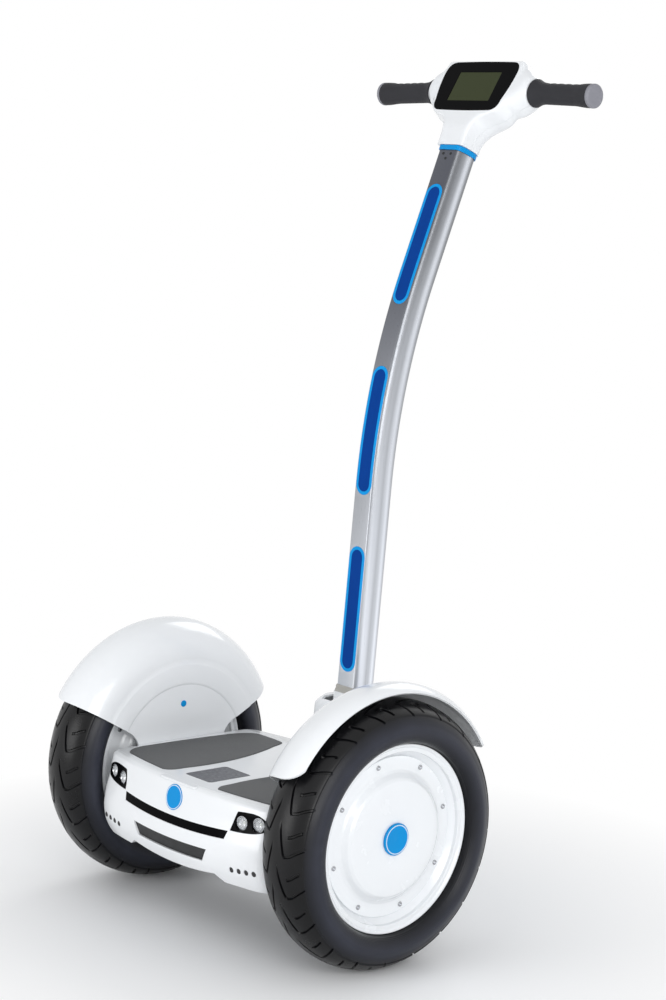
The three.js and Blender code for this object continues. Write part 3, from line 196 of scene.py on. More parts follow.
def block(x0, x1, y0, y1, z0, z1):
    return slab([(x0, y0), (x1, y0), (x1, y1), (x0, y1)], "Z", z0, z1)


def moved(form, matrix):
    bmesh.ops.transform(form, matrix=matrix, verts=form.verts)
    return form


def shifted(form, x, y, z):
    return moved(form, Matrix.Translation((x, y, z)))


def rotated(form, angle, axis):
    return moved(form, Matrix.Rotation(angle, 4, axis))


def mirrored(form):
    """A left-hand copy of a right-hand form."""
    twin = form.copy()
    bmesh.ops.scale(twin, vec=(-1, 1, 1), verts=twin.verts)
    bmesh.ops.reverse_faces(twin, faces=twin.faces)
    return twin


def both_sides(form):
    return [form, mirrored(form)]


def as_mesh(form, name="blank"):
    mesh = bpy.data.meshes.new(name)
    form.to_mesh(mesh)
    form.free()
    return mesh


def linked(name, data):
    made = bpy.data.objects.new(name, data)
    bpy.context.scene.collection.objects.link(made)
    return made


def discard(blank):
    mesh = blank.data
    bpy.data.objects.remove(blank)
    bpy.data.meshes.remove(mesh)


def gathered(forms):
    """Several loose forms as one."""
    whole = bmesh.new()
    for form in forms:
        mesh = as_mesh(form)
        whole.from_mesh(mesh)
        bpy.data.meshes.remove(mesh)
    return whole


def modify(made, kind, **settings):
    modifier = made.modifiers.new(kind.lower(), kind)
    for key, value in settings.items():
        setattr(modifier, key, value)


def shaped(form, kind, **settings):
    """A form after one modifier."""
    blank = linked("blank", as_mesh(form))
    modify(blank, kind, **settings)
    bpy.context.view_layer.update()
    result = bmesh.new()
    result.from_object(blank, bpy.context.evaluated_depsgraph_get())
    discard(blank)
    return result


def combined(operation, base, *tools):
    """What is left when forms cut, join or meet a first one: DIFFERENCE, UNION or INTERSECT."""
    for tool in tools:
        blank = linked("blank", as_mesh(tool))
        base = shaped(base, "BOOLEAN", operation=operation, solver="EXACT", object=blank)
        discard(blank)
    return base


def blended(form, voxel, rounds):
    """A form remade in small even faces and smoothed, so that its parts flow into each other."""
    base = shaped(form, "REMESH", mode="VOXEL", voxel_size=voxel)
    for _ in range(rounds):
        bmesh.ops.smooth_vert(base, verts=base.verts, factor=0.5,
                              use_axis_x=True, use_axis_y=True, use_axis_z=True)
    return base


def cut(base, *tools):
    return combined("DIFFERENCE", base, *tools)


def join(base, *tools):
    return combined("UNION", base, *tools)


def common(base, *tools):
    return combined("INTERSECT", base, *tools)


def piece(name, form, body, kind, *, bevel=0.0, node=None, sharp=35, place=PLACE):
    """Turns a form in millimetres into a named piece that rides on a body of the frame.

    A piece named after a node of the frame, with or without the word finished, stands for it.
    Edges bent by more than so many degrees stay sharp, and the bevel rounds them.
    """
    moved(form, place)
    for face in form.faces:
        face.smooth = True
    limit = math.radians(sharp)
    for edge in form.edges:
        edge.smooth = len(edge.link_faces) != 2 or edge.calc_face_angle(0) < limit
    mesh = as_mesh(form, name)
    mesh.materials.append(finish_of(kind))
    made = linked(name, mesh)
    if bevel:
        modify(made, "BEVEL", width=bevel * MM, segments=2, limit_method="ANGLE", angle_limit=limit,
               use_clamp_overlap=True)
    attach(made, body)
    node = node or name.removesuffix("_finished")
    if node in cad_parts:
        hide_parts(node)


# Shader maths

class Field:
    """A value that varies over a surface, which Python arithmetic can be done on."""

    def __init__(self, nodes, socket):
        self.nodes = nodes
        self.socket = socket

    def math(self, operation, *others):
        return self.nodes.node("Math", {"operation": operation}, dict(enumerate((self, *others))))

    def output(self, name):
        """Another output of the node that this value comes from."""
        return Field(self.nodes, self.socket.node.outputs[name])

    def __add__(self, other):
        return self.math("ADD", other)

    def __mul__(self, other):
        return self.math("MULTIPLY", other)

    __radd__ = __add__
    __rmul__ = __mul__


class Nodes:
    """A node tree under construction: node() adds any node and gives back one of its outputs."""

    def __init__(self, owner):
        owner.use_nodes = True
        self.tree = owner.node_tree

    def feed(self, socket, value):
        if isinstance(value, Field):
            self.tree.links.new(value.socket, socket)
        else:
            socket.default_value = value

    def node(self, kind, settings=None, inputs=None, output=0):
        node = self.tree.nodes.new("ShaderNode" + kind)
        settings = dict(settings or {})
        stops = settings.pop("stops", ())
        for key, value in settings.items():
            setattr(node, key, value)
        if stops:
            ramp = node.color_ramp.elements
            while len(ramp) < len(stops):
                ramp.new(1)
            for element, (position, color) in zip(ramp, stops):
                element.position = position
                element.color = color
        for key, value in (inputs or {}).items():
            self.feed(node.inputs[key], value)
        return Field(self, node.outputs[output])

    def vector(self, operation, *inputs, output=0):
        return self.node("VectorMath", {"operation": operation}, dict(enumerate(inputs)), output)

    def place(self):
        return self.node("TexCoord", output="Object")

    def noise(self, scale, detail=3, stretch=None):
        place = self.place()
        if stretch:
            place = self.node("Mapping", None, {"Vector": place, "Scale": stretch})
        return self.node("TexNoise", None, {"Vector": place, "Scale": scale, "Detail": detail})

    def ramp(self, value, low, high, start=0.0, end=1.0):
        """A number that runs from low to high while the value runs from start to end."""
        return self.node("MapRange", None, {0: value, 1: start, 2: end, 3: low, 4: high})

    def mix(self, share, first, second):
        """A colour between two others; the Mix node's colour sockets come after its other ones."""
        return self.node("Mix", {"data_type": "RGBA"}, {0: share, 6: first, 7: second}, 2)

    def seen(self):
        """1 where the camera sees a surface, straight or in metal and glass, and 0 where it gives light."""
        rays = self.node("LightPath", output="Is Camera Ray")
        share = rays
        for kind in ("Glossy", "Transmission"):
            share = share.math("MAXIMUM", rays.output(f"Is {kind} Ray"))
        return share


def tint(color, share=1.0):
    """A colour made lighter or darker by a share, for use in a Mix node."""
    return (*(c * share for c in color), 1)


COAT_ROUGHNESS = 0.06


class Finish(Nodes):
    """A material under construction."""

    def __init__(self, name, color, roughness, metallic=0.0, coat=0.0, specular=0.5):
        self.material = bpy.data.materials.new(name)
        super().__init__(self.material)
        self.color = color
        self.surface = self.tree.nodes["Principled BSDF"]
        self.set({"Base Color": tint(color), "Roughness": roughness, "Metallic": metallic,
                  "Coat Weight": coat, "Coat Roughness": COAT_ROUGHNESS, "Specular IOR Level": specular})

    def set(self, values):
        for name, value in values.items():
            self.feed(self.surface.inputs[name], value)

    def vary(self, share, dark, light):
        """Runs the colour from a darker to a lighter tint of itself."""
        self.set({"Base Color": self.mix(share, tint(self.color, dark), tint(self.color, light))})

    def polish(self, share, low, high, start=0.3, end=0.7):
        self.set({"Roughness": self.ramp(share, low, high, start, end)})

    def bump(self, height, distance):
        self.set({"Normal": self.node("Bump", None, {"Height": height, "Distance": distance})})


def moulded_plastic(name, color, roughness=0.22, coat=0.35, specular=0.5):
    """Injection-moulded plastic: faint cloudiness, fine orange peel and uneven polish."""
    finish = Finish(name, color, roughness, coat=coat, specular=specular)
    finish.vary(finish.noise(9.0), 0.985, 1.015)
    finish.polish(finish.noise(35.0), roughness - 0.02, roughness + 0.03)
    finish.bump(finish.noise(260.0, 2), 0.00004)


def satin_plastic(name, color):
    """Plastic with a fine spark-eroded grain."""
    finish = Finish(name, color, 0.55)
    finish.vary(finish.noise(14.0), 0.88, 1.12)
    finish.polish(finish.noise(60.0), 0.48, 0.63)
    finish.bump(finish.noise(1400.0, 2), 0.00012)


def mat_rubber(name, color):
    """Foot mat: a fine pebbled grain with paler scuffs."""
    finish = Finish(name, color, 0.7, specular=0.35)
    scuff = finish.ramp(finish.noise(16.0, 6), 0, 1, 0.52, 0.72)
    finish.vary(scuff, 0.97, 1.16)
    finish.polish(scuff, 0.62, 0.78, 0, 1)
    finish.bump(finish.node("TexVoronoi", None, {"Vector": finish.place(), "Scale": 700.0}), 0.0003)


def grip_rubber(name, color):
    """Soft rubber with a matt grain and faint clouds."""
    finish = Finish(name, color, 0.62, specular=0.14)
    cloud = finish.noise(40.0)
    finish.vary(cloud, 0.9, 1.12)
    finish.polish(cloud, 0.56, 0.7, 0, 1)
    finish.bump(finish.noise(1600.0, 2), 0.00015)


def tyre_rubber(name, color, wall_color):
    """Tyre: black tread, a slate sidewall with fine rings, a dusty bloom, and a painted sheen round the
    sidewall's middle with painted shade towards its edges.
    """
    finish = Finish(name, color, 0.34, specular=0.26)
    place = finish.vector("SUBTRACT", finish.place(), (0, WHEEL.y, WHEEL.z))
    radius = finish.vector("LENGTH", finish.vector("MULTIPLY", place, (0, 1, 1)), output="Value")
    rings = (radius * (2 * math.pi / (1.6 * MM))).math("SINE")
    wall = finish.ramp(radius, 1, 0, 0.1805, 0.1825)
    ringed = finish.ramp(radius, 1, 0, 0.156, 0.16)
    bloom = finish.noise(24.0, 5)
    dusty = finish.ramp(bloom, 0, 1, 0.4, 0.75)
    tread = finish.mix(dusty, tint(color, 0.8), tint(color, 1.4))
    # Painted sheen: the sidewall is lighter round its middle, a painted highlight, and darker towards the
    # rim and the shoulder, painted shade; dust varies the lighter tone.
    painted_sheen = finish.ramp(radius, 0, 1, 0.14, 0.158) * finish.ramp(radius, 1, 0, 0.164, 0.181)
    dust_and_sheen = finish.mix(dusty, tint(wall_color, 2), tint(wall_color, 2.6))
    side = finish.mix(painted_sheen, tint(wall_color, 0.3), dust_and_sheen)
    finish.set({
        "Base Color": finish.mix(wall, tread, side),
        "Roughness": finish.ramp(bloom, 0.25, 0.38, 0.3, 0.7) + wall * 0.05,
    })
    finish.bump(rings * ringed * 0.2 + finish.noise(900.0, 2) * 0.25, 0.0004)


def drawn_metal(name, color):
    """Bare metal with the fine lines that turning or brushing leaves."""
    finish = Finish(name, color, 0.3, metallic=0.9)
    lines = finish.noise(1.0, 4, (12, 420, 420))
    finish.vary(lines, 0.93, 1.07)
    finish.polish(lines, 0.25, 0.37)
    finish.bump(lines, 0.00002)


def cast_metal(name, color, roughness=0.5):
    """Cast metal with a coarse grain."""
    finish = Finish(name, color, roughness, metallic=0.85)
    grain = finish.noise(180.0, 4)
    finish.vary(grain, 0.86, 1.12)
    finish.polish(grain, roughness - 0.08, roughness + 0.1)
    finish.bump(finish.noise(700.0, 3), 0.0002)


# Painted reflections: tones round the pole's flank, from its rear face to its front, near the foot and near
# the top, the darker ones near the top being painted shade
LOW_REFLECTION_BANDS = ((0, 0.8), (0.06, 0.9), (0.14, 1.8), (0.27, 1.65), (0.4, 1.1), (0.53, 1.2), (0.66, 1.95),
             (0.8, 1.1))
HIGH_REFLECTION_BANDS = ((0, 0.25), (0.2, 0.42), (0.38, 0.72), (0.52, 1.38), (0.6, 1.38), (0.7, 0.68), (0.8, 0.34))


def pole_metal(name, color, low_face, high_face):
    """The pole: painted reflections in bands of silver round the flanks, and a flat rear face that runs from
    a painted reflection near the foot to slate near the top; the bands darken towards the top as painted
    shade.
    """
    finish = Finish(name, color, 0.3, metallic=0.8)
    lines = finish.noise(1.0, 4, (700, 700, 9))
    flat, depth = [finish.node("Attribute", {"attribute_name": attribute}, output="Fac")
                   for attribute in ("rear_face", "flank")]
    height = finish.node("SeparateXYZ", None, {0: finish.place()}, "Z")
    # Painted reflection bands round the flanks, darker towards the top as painted shade
    low, high = [finish.node("ValToRGB", {"stops": [(stop, tint(color, tone)) for stop, tone in bands]},
                             {0: depth}) for bands in (LOW_REFLECTION_BANDS, HIGH_REFLECTION_BANDS)]
    # The rear face: a painted reflection near the foot, running to slate near the top
    face = finish.mix(finish.ramp(height, 0, 1, 0.33, 0.98), tint(low_face), tint(high_face))
    base = finish.mix(flat, finish.mix(finish.ramp(height, 0, 1, 0.35, 1.05), low, high), face)
    finish.set({"Base Color": finish.mix(lines, finish.mix(0.06, base, (0, 0, 0, 1)), base)})
    finish.polish(lines, 0.27, 0.36)
    finish.bump(lines, 0.00002)


def glowing_plastic(name, color):
    """Tinted plastic lit from inside, with faint clouds in its tint."""
    finish = Finish(name, color, 0.32, specular=0.04)
    cloud = finish.noise(30.0)
    finish.vary(cloud, 0.9, 1.12)
    finish.polish(cloud, 0.28, 0.38, 0, 1)
    finish.set({"Emission Color": tint(color), "Emission Strength": 0.25})


def reflector_metal(name, color):
    """Bright plated metal."""
    finish = Finish(name, color, 0.15, metallic=1.0)
    cloud = finish.noise(220.0)
    finish.vary(cloud, 0.85, 1.05)
    finish.polish(cloud, 0.1, 0.24, 0, 1)


def clear_glass(name, color):
    finish = Finish(name, color, 0.04, coat=1.0)
    cloud = finish.noise(120.0)
    finish.polish(cloud, 0.03, 0.08, 0, 1)
    finish.set({"Alpha": finish.ramp(cloud, 0.16, 0.24)})


# Each finish's slot in the frame, its maker and its values, where a word is a colour of the settings.
# A finish without a slot is worn only by pieces of the frame.
FINISHES = {
    "white_panel": ("white_shell", moulded_plastic, "white"),
    "rim_paint": ("painted_rim", moulded_plastic, "rim", 0.25, 0.5),
    "tyre_rubber": ("tyre", tyre_rubber, "tyre", "sidewall"),
    "mat_rubber": ("mat_rubber", mat_rubber, "mat"),
    "grip_rubber": ("grip_rubber", grip_rubber, "grip"),
    "boot_rubber": ("grip_rubber", grip_rubber, (0.42, 0.41, 0.38)),
    "grip_cap": ("grip_cap", satin_plastic, (0.24, 0.24, 0.27)),
    # The pole's finish carries painted reflections and painted shade
    "pole_metal": ("silver_tube", pole_metal, "silver", "pewter", "slate"),
    "gloss_blue": ("blue_gloss", moulded_plastic, "blue", 0.3, 0.05, 0.1),
    "strip_core": ("light_strip", glowing_plastic, "strip"),
    "strip_edge": ("light_strip", glowing_plastic, (0.008, 0.25, 0.6)),
    "gloss_black": ("black_gloss", moulded_plastic, (0.002, 0.002, 0.0025), 0.14, 0, 0.03),
    "dark_plastic": ("dark_plastic", satin_plastic, (0.013, 0.0135, 0.015)),
    "tub_plastic": ("dark_plastic", satin_plastic, (0.03, 0.031, 0.034)),
    "plate_metal": (None, cast_metal, (0.116, 0.12, 0.136), 0.4),
    "cast_metal": (None, cast_metal, (0.3, 0.31, 0.33)),
    "steel": (None, drawn_metal, (0.42, 0.43, 0.45)),
    "battery_wrap": (None, moulded_plastic, (0.01, 0.05, 0.2), 0.4, 0.1),
    "lcd_pane": ("lcd", moulded_plastic, (0.04, 0.048, 0.02), 0.3, 0, 0.07),
    "border_white": ("painted_rim", moulded_plastic, (0.62, 0.74, 0.86), 0.3, 0.2),
    "led_white": ("clear_lens", moulded_plastic, (0.85, 0.87, 0.8), 0.3, 0.3),
    "screw_steel": ("steel", reflector_metal, (0.45, 0.46, 0.48)),
    "reflector": ("steel", reflector_metal, (0.55, 0.56, 0.58)),
    "lens": ("clear_lens", clear_glass, (0.85, 0.88, 0.9)),
}


def finish_of(kind):
    """A finish by its kind, made on first use."""
    name = f"{kind}_finish"
    if name not in bpy.data.materials:
        shades = bpy.context.scene.scooter_colours
        _, maker, *values = FINISHES[kind]
        maker(name, *[getattr(shades, value) if isinstance(value, str) else value for value in values])
    return bpy.data.materials[name]


# Settings that a user would change

def shade(name, description, *color):
    return FloatVectorProperty(name=name, description=description, subtype="COLOR", size=3, default=color,
                               min=0, max=1)


def length(name, description, usual, low, high):
    return FloatProperty(name=name, description=description, unit="LENGTH", default=usual, min=low, max=high)


class ScooterColours(bpy.types.PropertyGroup):
    """Colours of the scooter's finishes, as linear values."""

    white: shade("White", "Body panels, fenders and head", 0.83, 0.845, 0.86)
    rim: shade("Rim", "Painted rims and hub covers", 0.84, 0.86, 0.88)
    tyre: shade("Tyre", "Tyre rubber", 0.003, 0.0031, 0.0038)
    sidewall: shade("Sidewall", "Smooth side of the tyres", 0.0115, 0.0125, 0.018)
    mat: shade("Mat", "Foot mats", 0.094, 0.097, 0.099)
    grip: shade("Grip", "Hand grips", 0.032, 0.032, 0.036)
    silver: shade("Silver", "Flanks of the pole", 0.5, 0.52, 0.56)
    slate: shade("Slate", "Flat rear face of the pole near its top", 0.096, 0.101, 0.124)
    # Painted reflection on the pole's flat rear face near its foot
    pewter: shade("Pewter", "Flat rear face of the pole near its foot", 0.7, 0.725, 0.765)
    blue: shade("Blue", "Ring, badge, hub caps and button", 0.003, 0.275, 0.66)
    strip: shade("Strip", "Core of the light strips", 0.001, 0.038, 0.22)


class ScooterSizes(bpy.types.PropertyGroup):
    """Sizes of the detail that the frame does not carry."""

    tread_count: IntProperty(
        name="Tread hooks", description="Hooked grooves round each shoulder of a tyre",
        default=20, min=6, max=60)
    screw_count: IntProperty(
        name="Hub screws", description="Screws round each hub cover", default=8, min=3, max=24)
    tread_depth: length("Tread depth", "Depth of the tyre's grooves", 0.003, 0.0005, 0.006)
    tread_width: length("Groove width", "Width of the tyre's grooves", 0.0046, 0.001, 0.01)
    edge_round: length("Edge round", "Radius of the moulded panels' edges", 0.0009, 0.0001, 0.003)


def sizes():
    return bpy.context.scene.scooter_sizes


NODE_FINISHES = {
    "plate_metal": ("deck_plate",),
    "dark_plastic": ("charge_socket",),
    "tub_plastic": ("belly_tub",),
    "cast_metal": ("chassis_frame", "motor_controller", "axle_clamp_right", "axle_clamp_left"),
    "battery_wrap": ("battery_pack",),
    "steel": ("lean_bracket", "lean_pin", "axle_right", "axle_left", "motor_stator_right",
              "motor_stator_left", "wheel_bearing_right", "wheel_bearing_left", "handlebar_tube"),
    "grip_rubber": ("lean_bush", "charge_flap"),
    "gloss_blue": ("power_button",),
    "white_panel": ("lean_drum",),
    "lcd_pane": ("lcd_module",),
}


class FrameFinishes(bpy.types.Operator):
    """Gives every piece of the frame that stays its finish"""

    bl_idname = "scooter.frame_finishes"
    bl_label = "Frame finishes"

    def execute(self, context):
        for kind, names in NODE_FINISHES.items():
            for name in names:
                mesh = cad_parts[name].data
                mesh.materials.clear()
                mesh.materials.append(finish_of(kind))
        return {"FINISHED"}


# Wheels

TYRE_RADIUS = (TYRE_HIGH.z - TYRE_LOW.z) / 2 / MM
TYRE_HALF = (TYRE_HIGH.x - TYRE_LOW.x) / 2 / MM
WAIST = 158.0                # radius where the tyre is widest
FLANGE = 138.3
BEAD = 126.8
RIM_HALF = 36.4
RIM_LIP = 3.0
TYRE_WALL = 7.0
COVER_RADIUS = 117.6
COVER_FACE = 21.0
COVER_WALL = 3.2
DOME_FOOT = 98.0
DOME_TOP = 84.0
DOME_FACE = 34.0
RIM_BORE = 103.0
CAP_RADIUS = 23.5
CAP_STEM = CAP_RADIUS / 2
CAP_HEIGHT = 4.0
BEARING_RADIUS = 24.0
BEARING_FACE = DOME_FACE - COVER_WALL + 11
HUB_SCREW = (3.6, 1.6, 1.9)  # radius and height of the head, radius of its socket
SCREW_CIRCLE = 108.7
SCREW_TURN = 105.7           # degrees, where the first hub screw sits
WHEEL_STEPS = 160

# The tread's hooked groove, as mm from the crown and its place there in shares of the pitch
GROOVE_LEVELS = (4.5, 9, 13.5, 17, 22, 33, 44)
GROOVE_LINE = (-0.72, -0.4, -0.12, -0.01, -0.03, -0.14, -0.24)
BAR_PLACE = 0.55             # place of the short bar between two hooks
BAR_START = 19.0
BAR_END = 38.0
SHOULDER = 43.0              # edge of the tread
SHOULDER_STEP = 1.3
SHOULDER_END = 72.0          # where the step down from the tread has run out
GROOVE_EDGE = 1.4            # over which a groove reaches its depth
SPREAD_END = 60.0            # where the mesh's columns are even again
BEYOND = SHOULDER + 30       # stands for the tyre's inside and its foot
TREAD_COLUMNS = 30           # columns of the mesh in one pitch, ten of them on the two grooves
GROOVE_SIDES = (-1, -0.55, 0, 0.55, 1)


def tread_columns(pitch, half_width, spread):
    """Places of the mesh's columns in one pitch, gathered on the edges of the hook and the bar."""
    gap = (TREAD_COLUMNS - 2 * len(GROOVE_SIDES)) // 2
    places = []
    for start, end in ((0, BAR_PLACE * pitch), (BAR_PLACE * pitch, pitch)):
        places += [start + share * half_width for share in GROOVE_SIDES]
        room = end - start - 2 * half_width
        places += [start + half_width + room * (i + 1) / (gap + 1) for i in range(gap)]
    even = [pitch * (i - 2) / TREAD_COLUMNS for i in range(TREAD_COLUMNS)]
    return [e + (p - e) * spread for e, p in zip(even, places)]


def groove_depth(column, across):
    """Share of the groove's depth at a column, so many mm from the crown."""
    half = TREAD_COLUMNS // 2
    place = GROOVE_SIDES[column % half] if column % half < len(GROOVE_SIDES) else 1
    start, end = (GROOVE_LEVELS[0], SHOULDER + 2) if column < half else (BAR_START, BAR_END)
    edge = min(across - start, end - across) / GROOVE_EDGE
    return min(max(edge, 0), 1) if abs(place) < 1 else 0


def tyre_form():
    """The tyre, turned from its section; its columns are then gathered into hooked grooves."""
    count = sizes().tread_count
    around = count * TREAD_COLUMNS
    across = 92
    crown = TYRE_RADIUS - WAIST
    bead = RIM_HALF - RIM_LIP - GAP
    outer = [(r, x) for x, r in arc(0, WAIST, TYRE_HALF, crown, 178, 2, across)]
    flank = bend((WAIST, TYRE_HALF), (FLANGE + OVERRUN, TYRE_HALF), (FLANGE + 1, bead + 4), 8)
    foot = rounded([(FLANGE + 1, bead + 4), (FLANGE + 0.4, bead), (BEAD, bead), (BEAD, bead - TYRE_WALL)],
                   1.5, 2)
    side = flank + foot[3:]
    inner = [(r, x) for x, r in arc(0, WAIST, TYRE_HALF - TYRE_WALL, crown - TYRE_WALL, 0, 180, 16)]
    form = spun(outer + side + inner + [(r, -x) for r, x in reversed(side)], around)
    pitch = 2 * math.pi * TYRE_RADIUS / count
    depth = sizes().tread_depth / MM
    half_width = sizes().tread_width / MM / 2
    for vert in form.verts:
        x, y, z = vert.co
        radius = math.hypot(y, z)
        column = round(math.atan2(z, y) / (2 * math.pi) * around) % around
        lean = math.atan2(abs(x) / TYRE_HALF, (radius - WAIST) / crown)
        outside = radius > WAIST and abs(math.hypot(x / TYRE_HALF, (radius - WAIST) / crown) - 1) < 0.01
        across_crown = lean * (TYRE_HALF + crown) / 2 if outside else BEYOND
        level = min(max(across_crown, GROOVE_LEVELS[0]), GROOVE_LEVELS[-1])
        line = smooth_table(GROOVE_LEVELS, GROOVE_LINE, level)
        ahead = smooth_table(GROOVE_LEVELS, GROOVE_LINE, min(level + 0.5, GROOVE_LEVELS[-1]))
        slope = (ahead - line) * pitch / 0.5
        spread = min(max(min(across_crown - 2, SPREAD_END - across_crown) / 3, 0), 1)
        shift = TREAD_COLUMNS // 2 if x < 0 else 0
        turn, own = divmod(column + shift, TREAD_COLUMNS)
        width = half_width * min(math.hypot(1, slope), 3.2)
        place = tread_columns(pitch, width, spread)[own]
        angle = ((turn + line) * pitch + place - shift * pitch / TREAD_COLUMNS) / TYRE_RADIUS
        sunk = depth * groove_depth(own, across_crown) if outside else 0
        if outside and across_crown > SHOULDER:
            sunk += SHOULDER_STEP * min((across_crown - SHOULDER) / 1.5, 1,
                                        max(SHOULDER_END - across_crown, 0) / 12)
        ratio = 1 - sunk / TYRE_HALF if outside else 1
        low = radius - sunk * max(radius - WAIST, 0) / crown
        vert.co = (x * ratio if outside else x, low * math.cos(angle), low * math.sin(angle))
    return form


def rim_form():
    bead = RIM_HALF - RIM_LIP
    seat = BEAD - GAP
    face = [
        (seat, bead), (FLANGE, bead), (FLANGE, RIM_HALF), (FLANGE - RIM_LIP, RIM_HALF),
        (COVER_RADIUS + RIM_LIP + GAP, COVER_FACE), (COVER_RADIUS + GAP, COVER_FACE - COVER_WALL - GAP),
        (RIM_BORE, COVER_FACE - COVER_WALL - GAP),
    ]
    return turned(face + [(r, -x) for r, x in reversed(face)], 1.4, 3, WHEEL_STEPS)


def cover_form(hub):
    """A hub cover with its raised dome; hub holds the points of its middle."""
    slope = (DOME_FOOT - DOME_TOP) / 2
    face = [
        (DOME_TOP - slope, DOME_FACE), (DOME_TOP, DOME_FACE - 0.6),
        (DOME_TOP + slope * 0.6, DOME_FACE - 3.4), (DOME_FOOT - slope * 0.6, COVER_FACE + 3),
        (DOME_FOOT, COVER_FACE + 0.5),
        (DOME_FOOT + slope, COVER_FACE), (COVER_RADIUS, COVER_FACE),
    ]
    back = [
        (COVER_RADIUS, COVER_FACE - COVER_WALL), (DOME_FOOT - COVER_WALL, COVER_FACE - COVER_WALL),
        (DOME_TOP - COVER_WALL, DOME_FACE - COVER_WALL), (hub[0][0], DOME_FACE - COVER_WALL),
    ]
    return turned(hub + face + back, 1.2, 3, WHEEL_STEPS)


def screw_form(radius, height, socket):
    """A round socket screw about the X axis with its head towards +X."""
    top = height + 0.3
    head = turned([(0, 0), (radius, 0), (radius, height), (radius - 0.4, top), (0, top)], 0.2, 2, 20)
    return cut(head, rod("X", socket, height * 0.3, height + 1, count=6))


def cap_forms():
    """The blue hub cap and the pale border on its rim."""
    foot = DOME_FACE + GAP
    top = foot + CAP_HEIGHT
    stem = CAP_STEM - GAP
    cap = [
        (0, foot - COVER_WALL), (stem, foot - COVER_WALL), (stem, foot), (CAP_RADIUS, foot),
        (CAP_RADIUS, foot + CAP_HEIGHT * 0.7), (CAP_RADIUS - 2, top), (CAP_RADIUS - 3.2, top),
        (CAP_RADIUS - 3.8, top - 0.5), (0, top - 0.4),
    ]
    border = [
        (CAP_RADIUS - 3.4, top - 0.3), (CAP_RADIUS - 2, top - 0.3), (CAP_RADIUS - 2, top + 0.1),
        (CAP_RADIUS - 3.4, top + 0.1),
    ]
    return turned(cap, 0.5, 3, 96), turned(border, 0.1, 2, 96)


def hub_screws():
    """The screws round both hub covers."""
    twins = both_sides(screw_form(*HUB_SCREW))
    screws = []
    for k in range(sizes().screw_count):
        turn = math.radians(SCREW_TURN - 360 * k / sizes().screw_count)
        y, z = SCREW_CIRCLE * math.cos(turn), SCREW_CIRCLE * math.sin(turn)
        screws += [shifted(twin.copy(), side * COVER_FACE, y, z) for (side, _), twin in zip(SIDES, twins)]
    for twin in twins:
        twin.free()
    return gathered(screws)


class Wheels(bpy.types.Operator):
    """Makes the tyres, rims, hub covers and hub caps"""

    bl_idname = "scooter.wheels"
    bl_label = "Wheels"

    def execute(self, context):
        cap, border = cap_forms()
        seat = BEARING_RADIUS + COVER_WALL
        inner = cover_form([(BEARING_RADIUS + GAP, BEARING_FACE), (seat, BEARING_FACE), (seat, DOME_FACE)])
        forms = {
            "tyre": (tyre_form(), "tyre_rubber"),
            "rim": (rim_form(), "rim_paint"),
            "hub_cover_outer": (cover_form([(CAP_STEM, DOME_FACE)]), "rim_paint"),
            "hub_cap": (cap, "gloss_blue"),
            "hub_cover_inner": (mirrored(inner), "rim_paint"),
            "hub_screws": (hub_screws(), "screw_steel"),
            "hub_cap_border": (border, "border_white"),
        }
        inner.free()
        twins = {name: both_sides(form) for name, (form, _) in forms.items()}
        for k, (side, word) in enumerate(SIDES):
            for name, (_, kind) in forms.items():
                form = shifted(twins[name][k], side * WHEEL.x / MM, 0, WHEEL.z / MM)
                piece(f"{name}_{word}_finished", form, f"wheel_{word}", kind)
        return {"FINISHED"}


# Fenders

PLANE = 200.5                # inboard face of the fender disc
FENDER_WALL = 3.0
FENDER_RISE = 165.0
CROWN_X = 262.0
CROWN_RADIUS = 220.3
LIP_RADIUS = 35.5
LIP_TURN = 44.8
FRONT_CUT = 28.0
REAR_CUT = 29.0
TAB_HALF = 83.0
TAB_DROP = 62.0
TAB_FILLET = 24.0
TRIM_WIDTH = 33.0
TRIM_LENGTH = 38.0
STEP_INNER = 125.0
STEP_OUTER = 158.0
STEP_HEIGHT = 1.5
AXLE_HOLE = 16.0
DOT_RADIUS = 5.2
DOT_RISE = 92.5              # above the axle


def fender_profile(inset):
    disc = PLANE + inset
    step = [] if inset else [
        (STEP_INNER - 2.6, disc), (STEP_INNER - 0.9, disc - STEP_HEIGHT * 0.8),
        (STEP_INNER + 1.4, disc - STEP_HEIGHT), (STEP_OUTER - 4.6, disc - STEP_HEIGHT),
        (STEP_OUTER - 1.5, disc - STEP_HEIGHT * 0.6), (STEP_OUTER, disc),
    ]
    shoulder = arc(CROWN_X, FENDER_RISE, CROWN_X - disc, CROWN_RADIUS - FENDER_RISE - inset, 180, 90, 20)
    lip_radius = LIP_RADIUS - inset
    lip = arc(CROWN_X, CROWN_RADIUS - LIP_RADIUS, lip_radius, lip_radius, 90, 90 - LIP_TURN, 8)
    return [(0, disc)] + step + [(r, x) for x, r in shoulder + lip[1:]]


def ray(angle, radius):
    return (radius * math.cos(math.radians(angle)), radius * math.sin(math.radians(angle)))


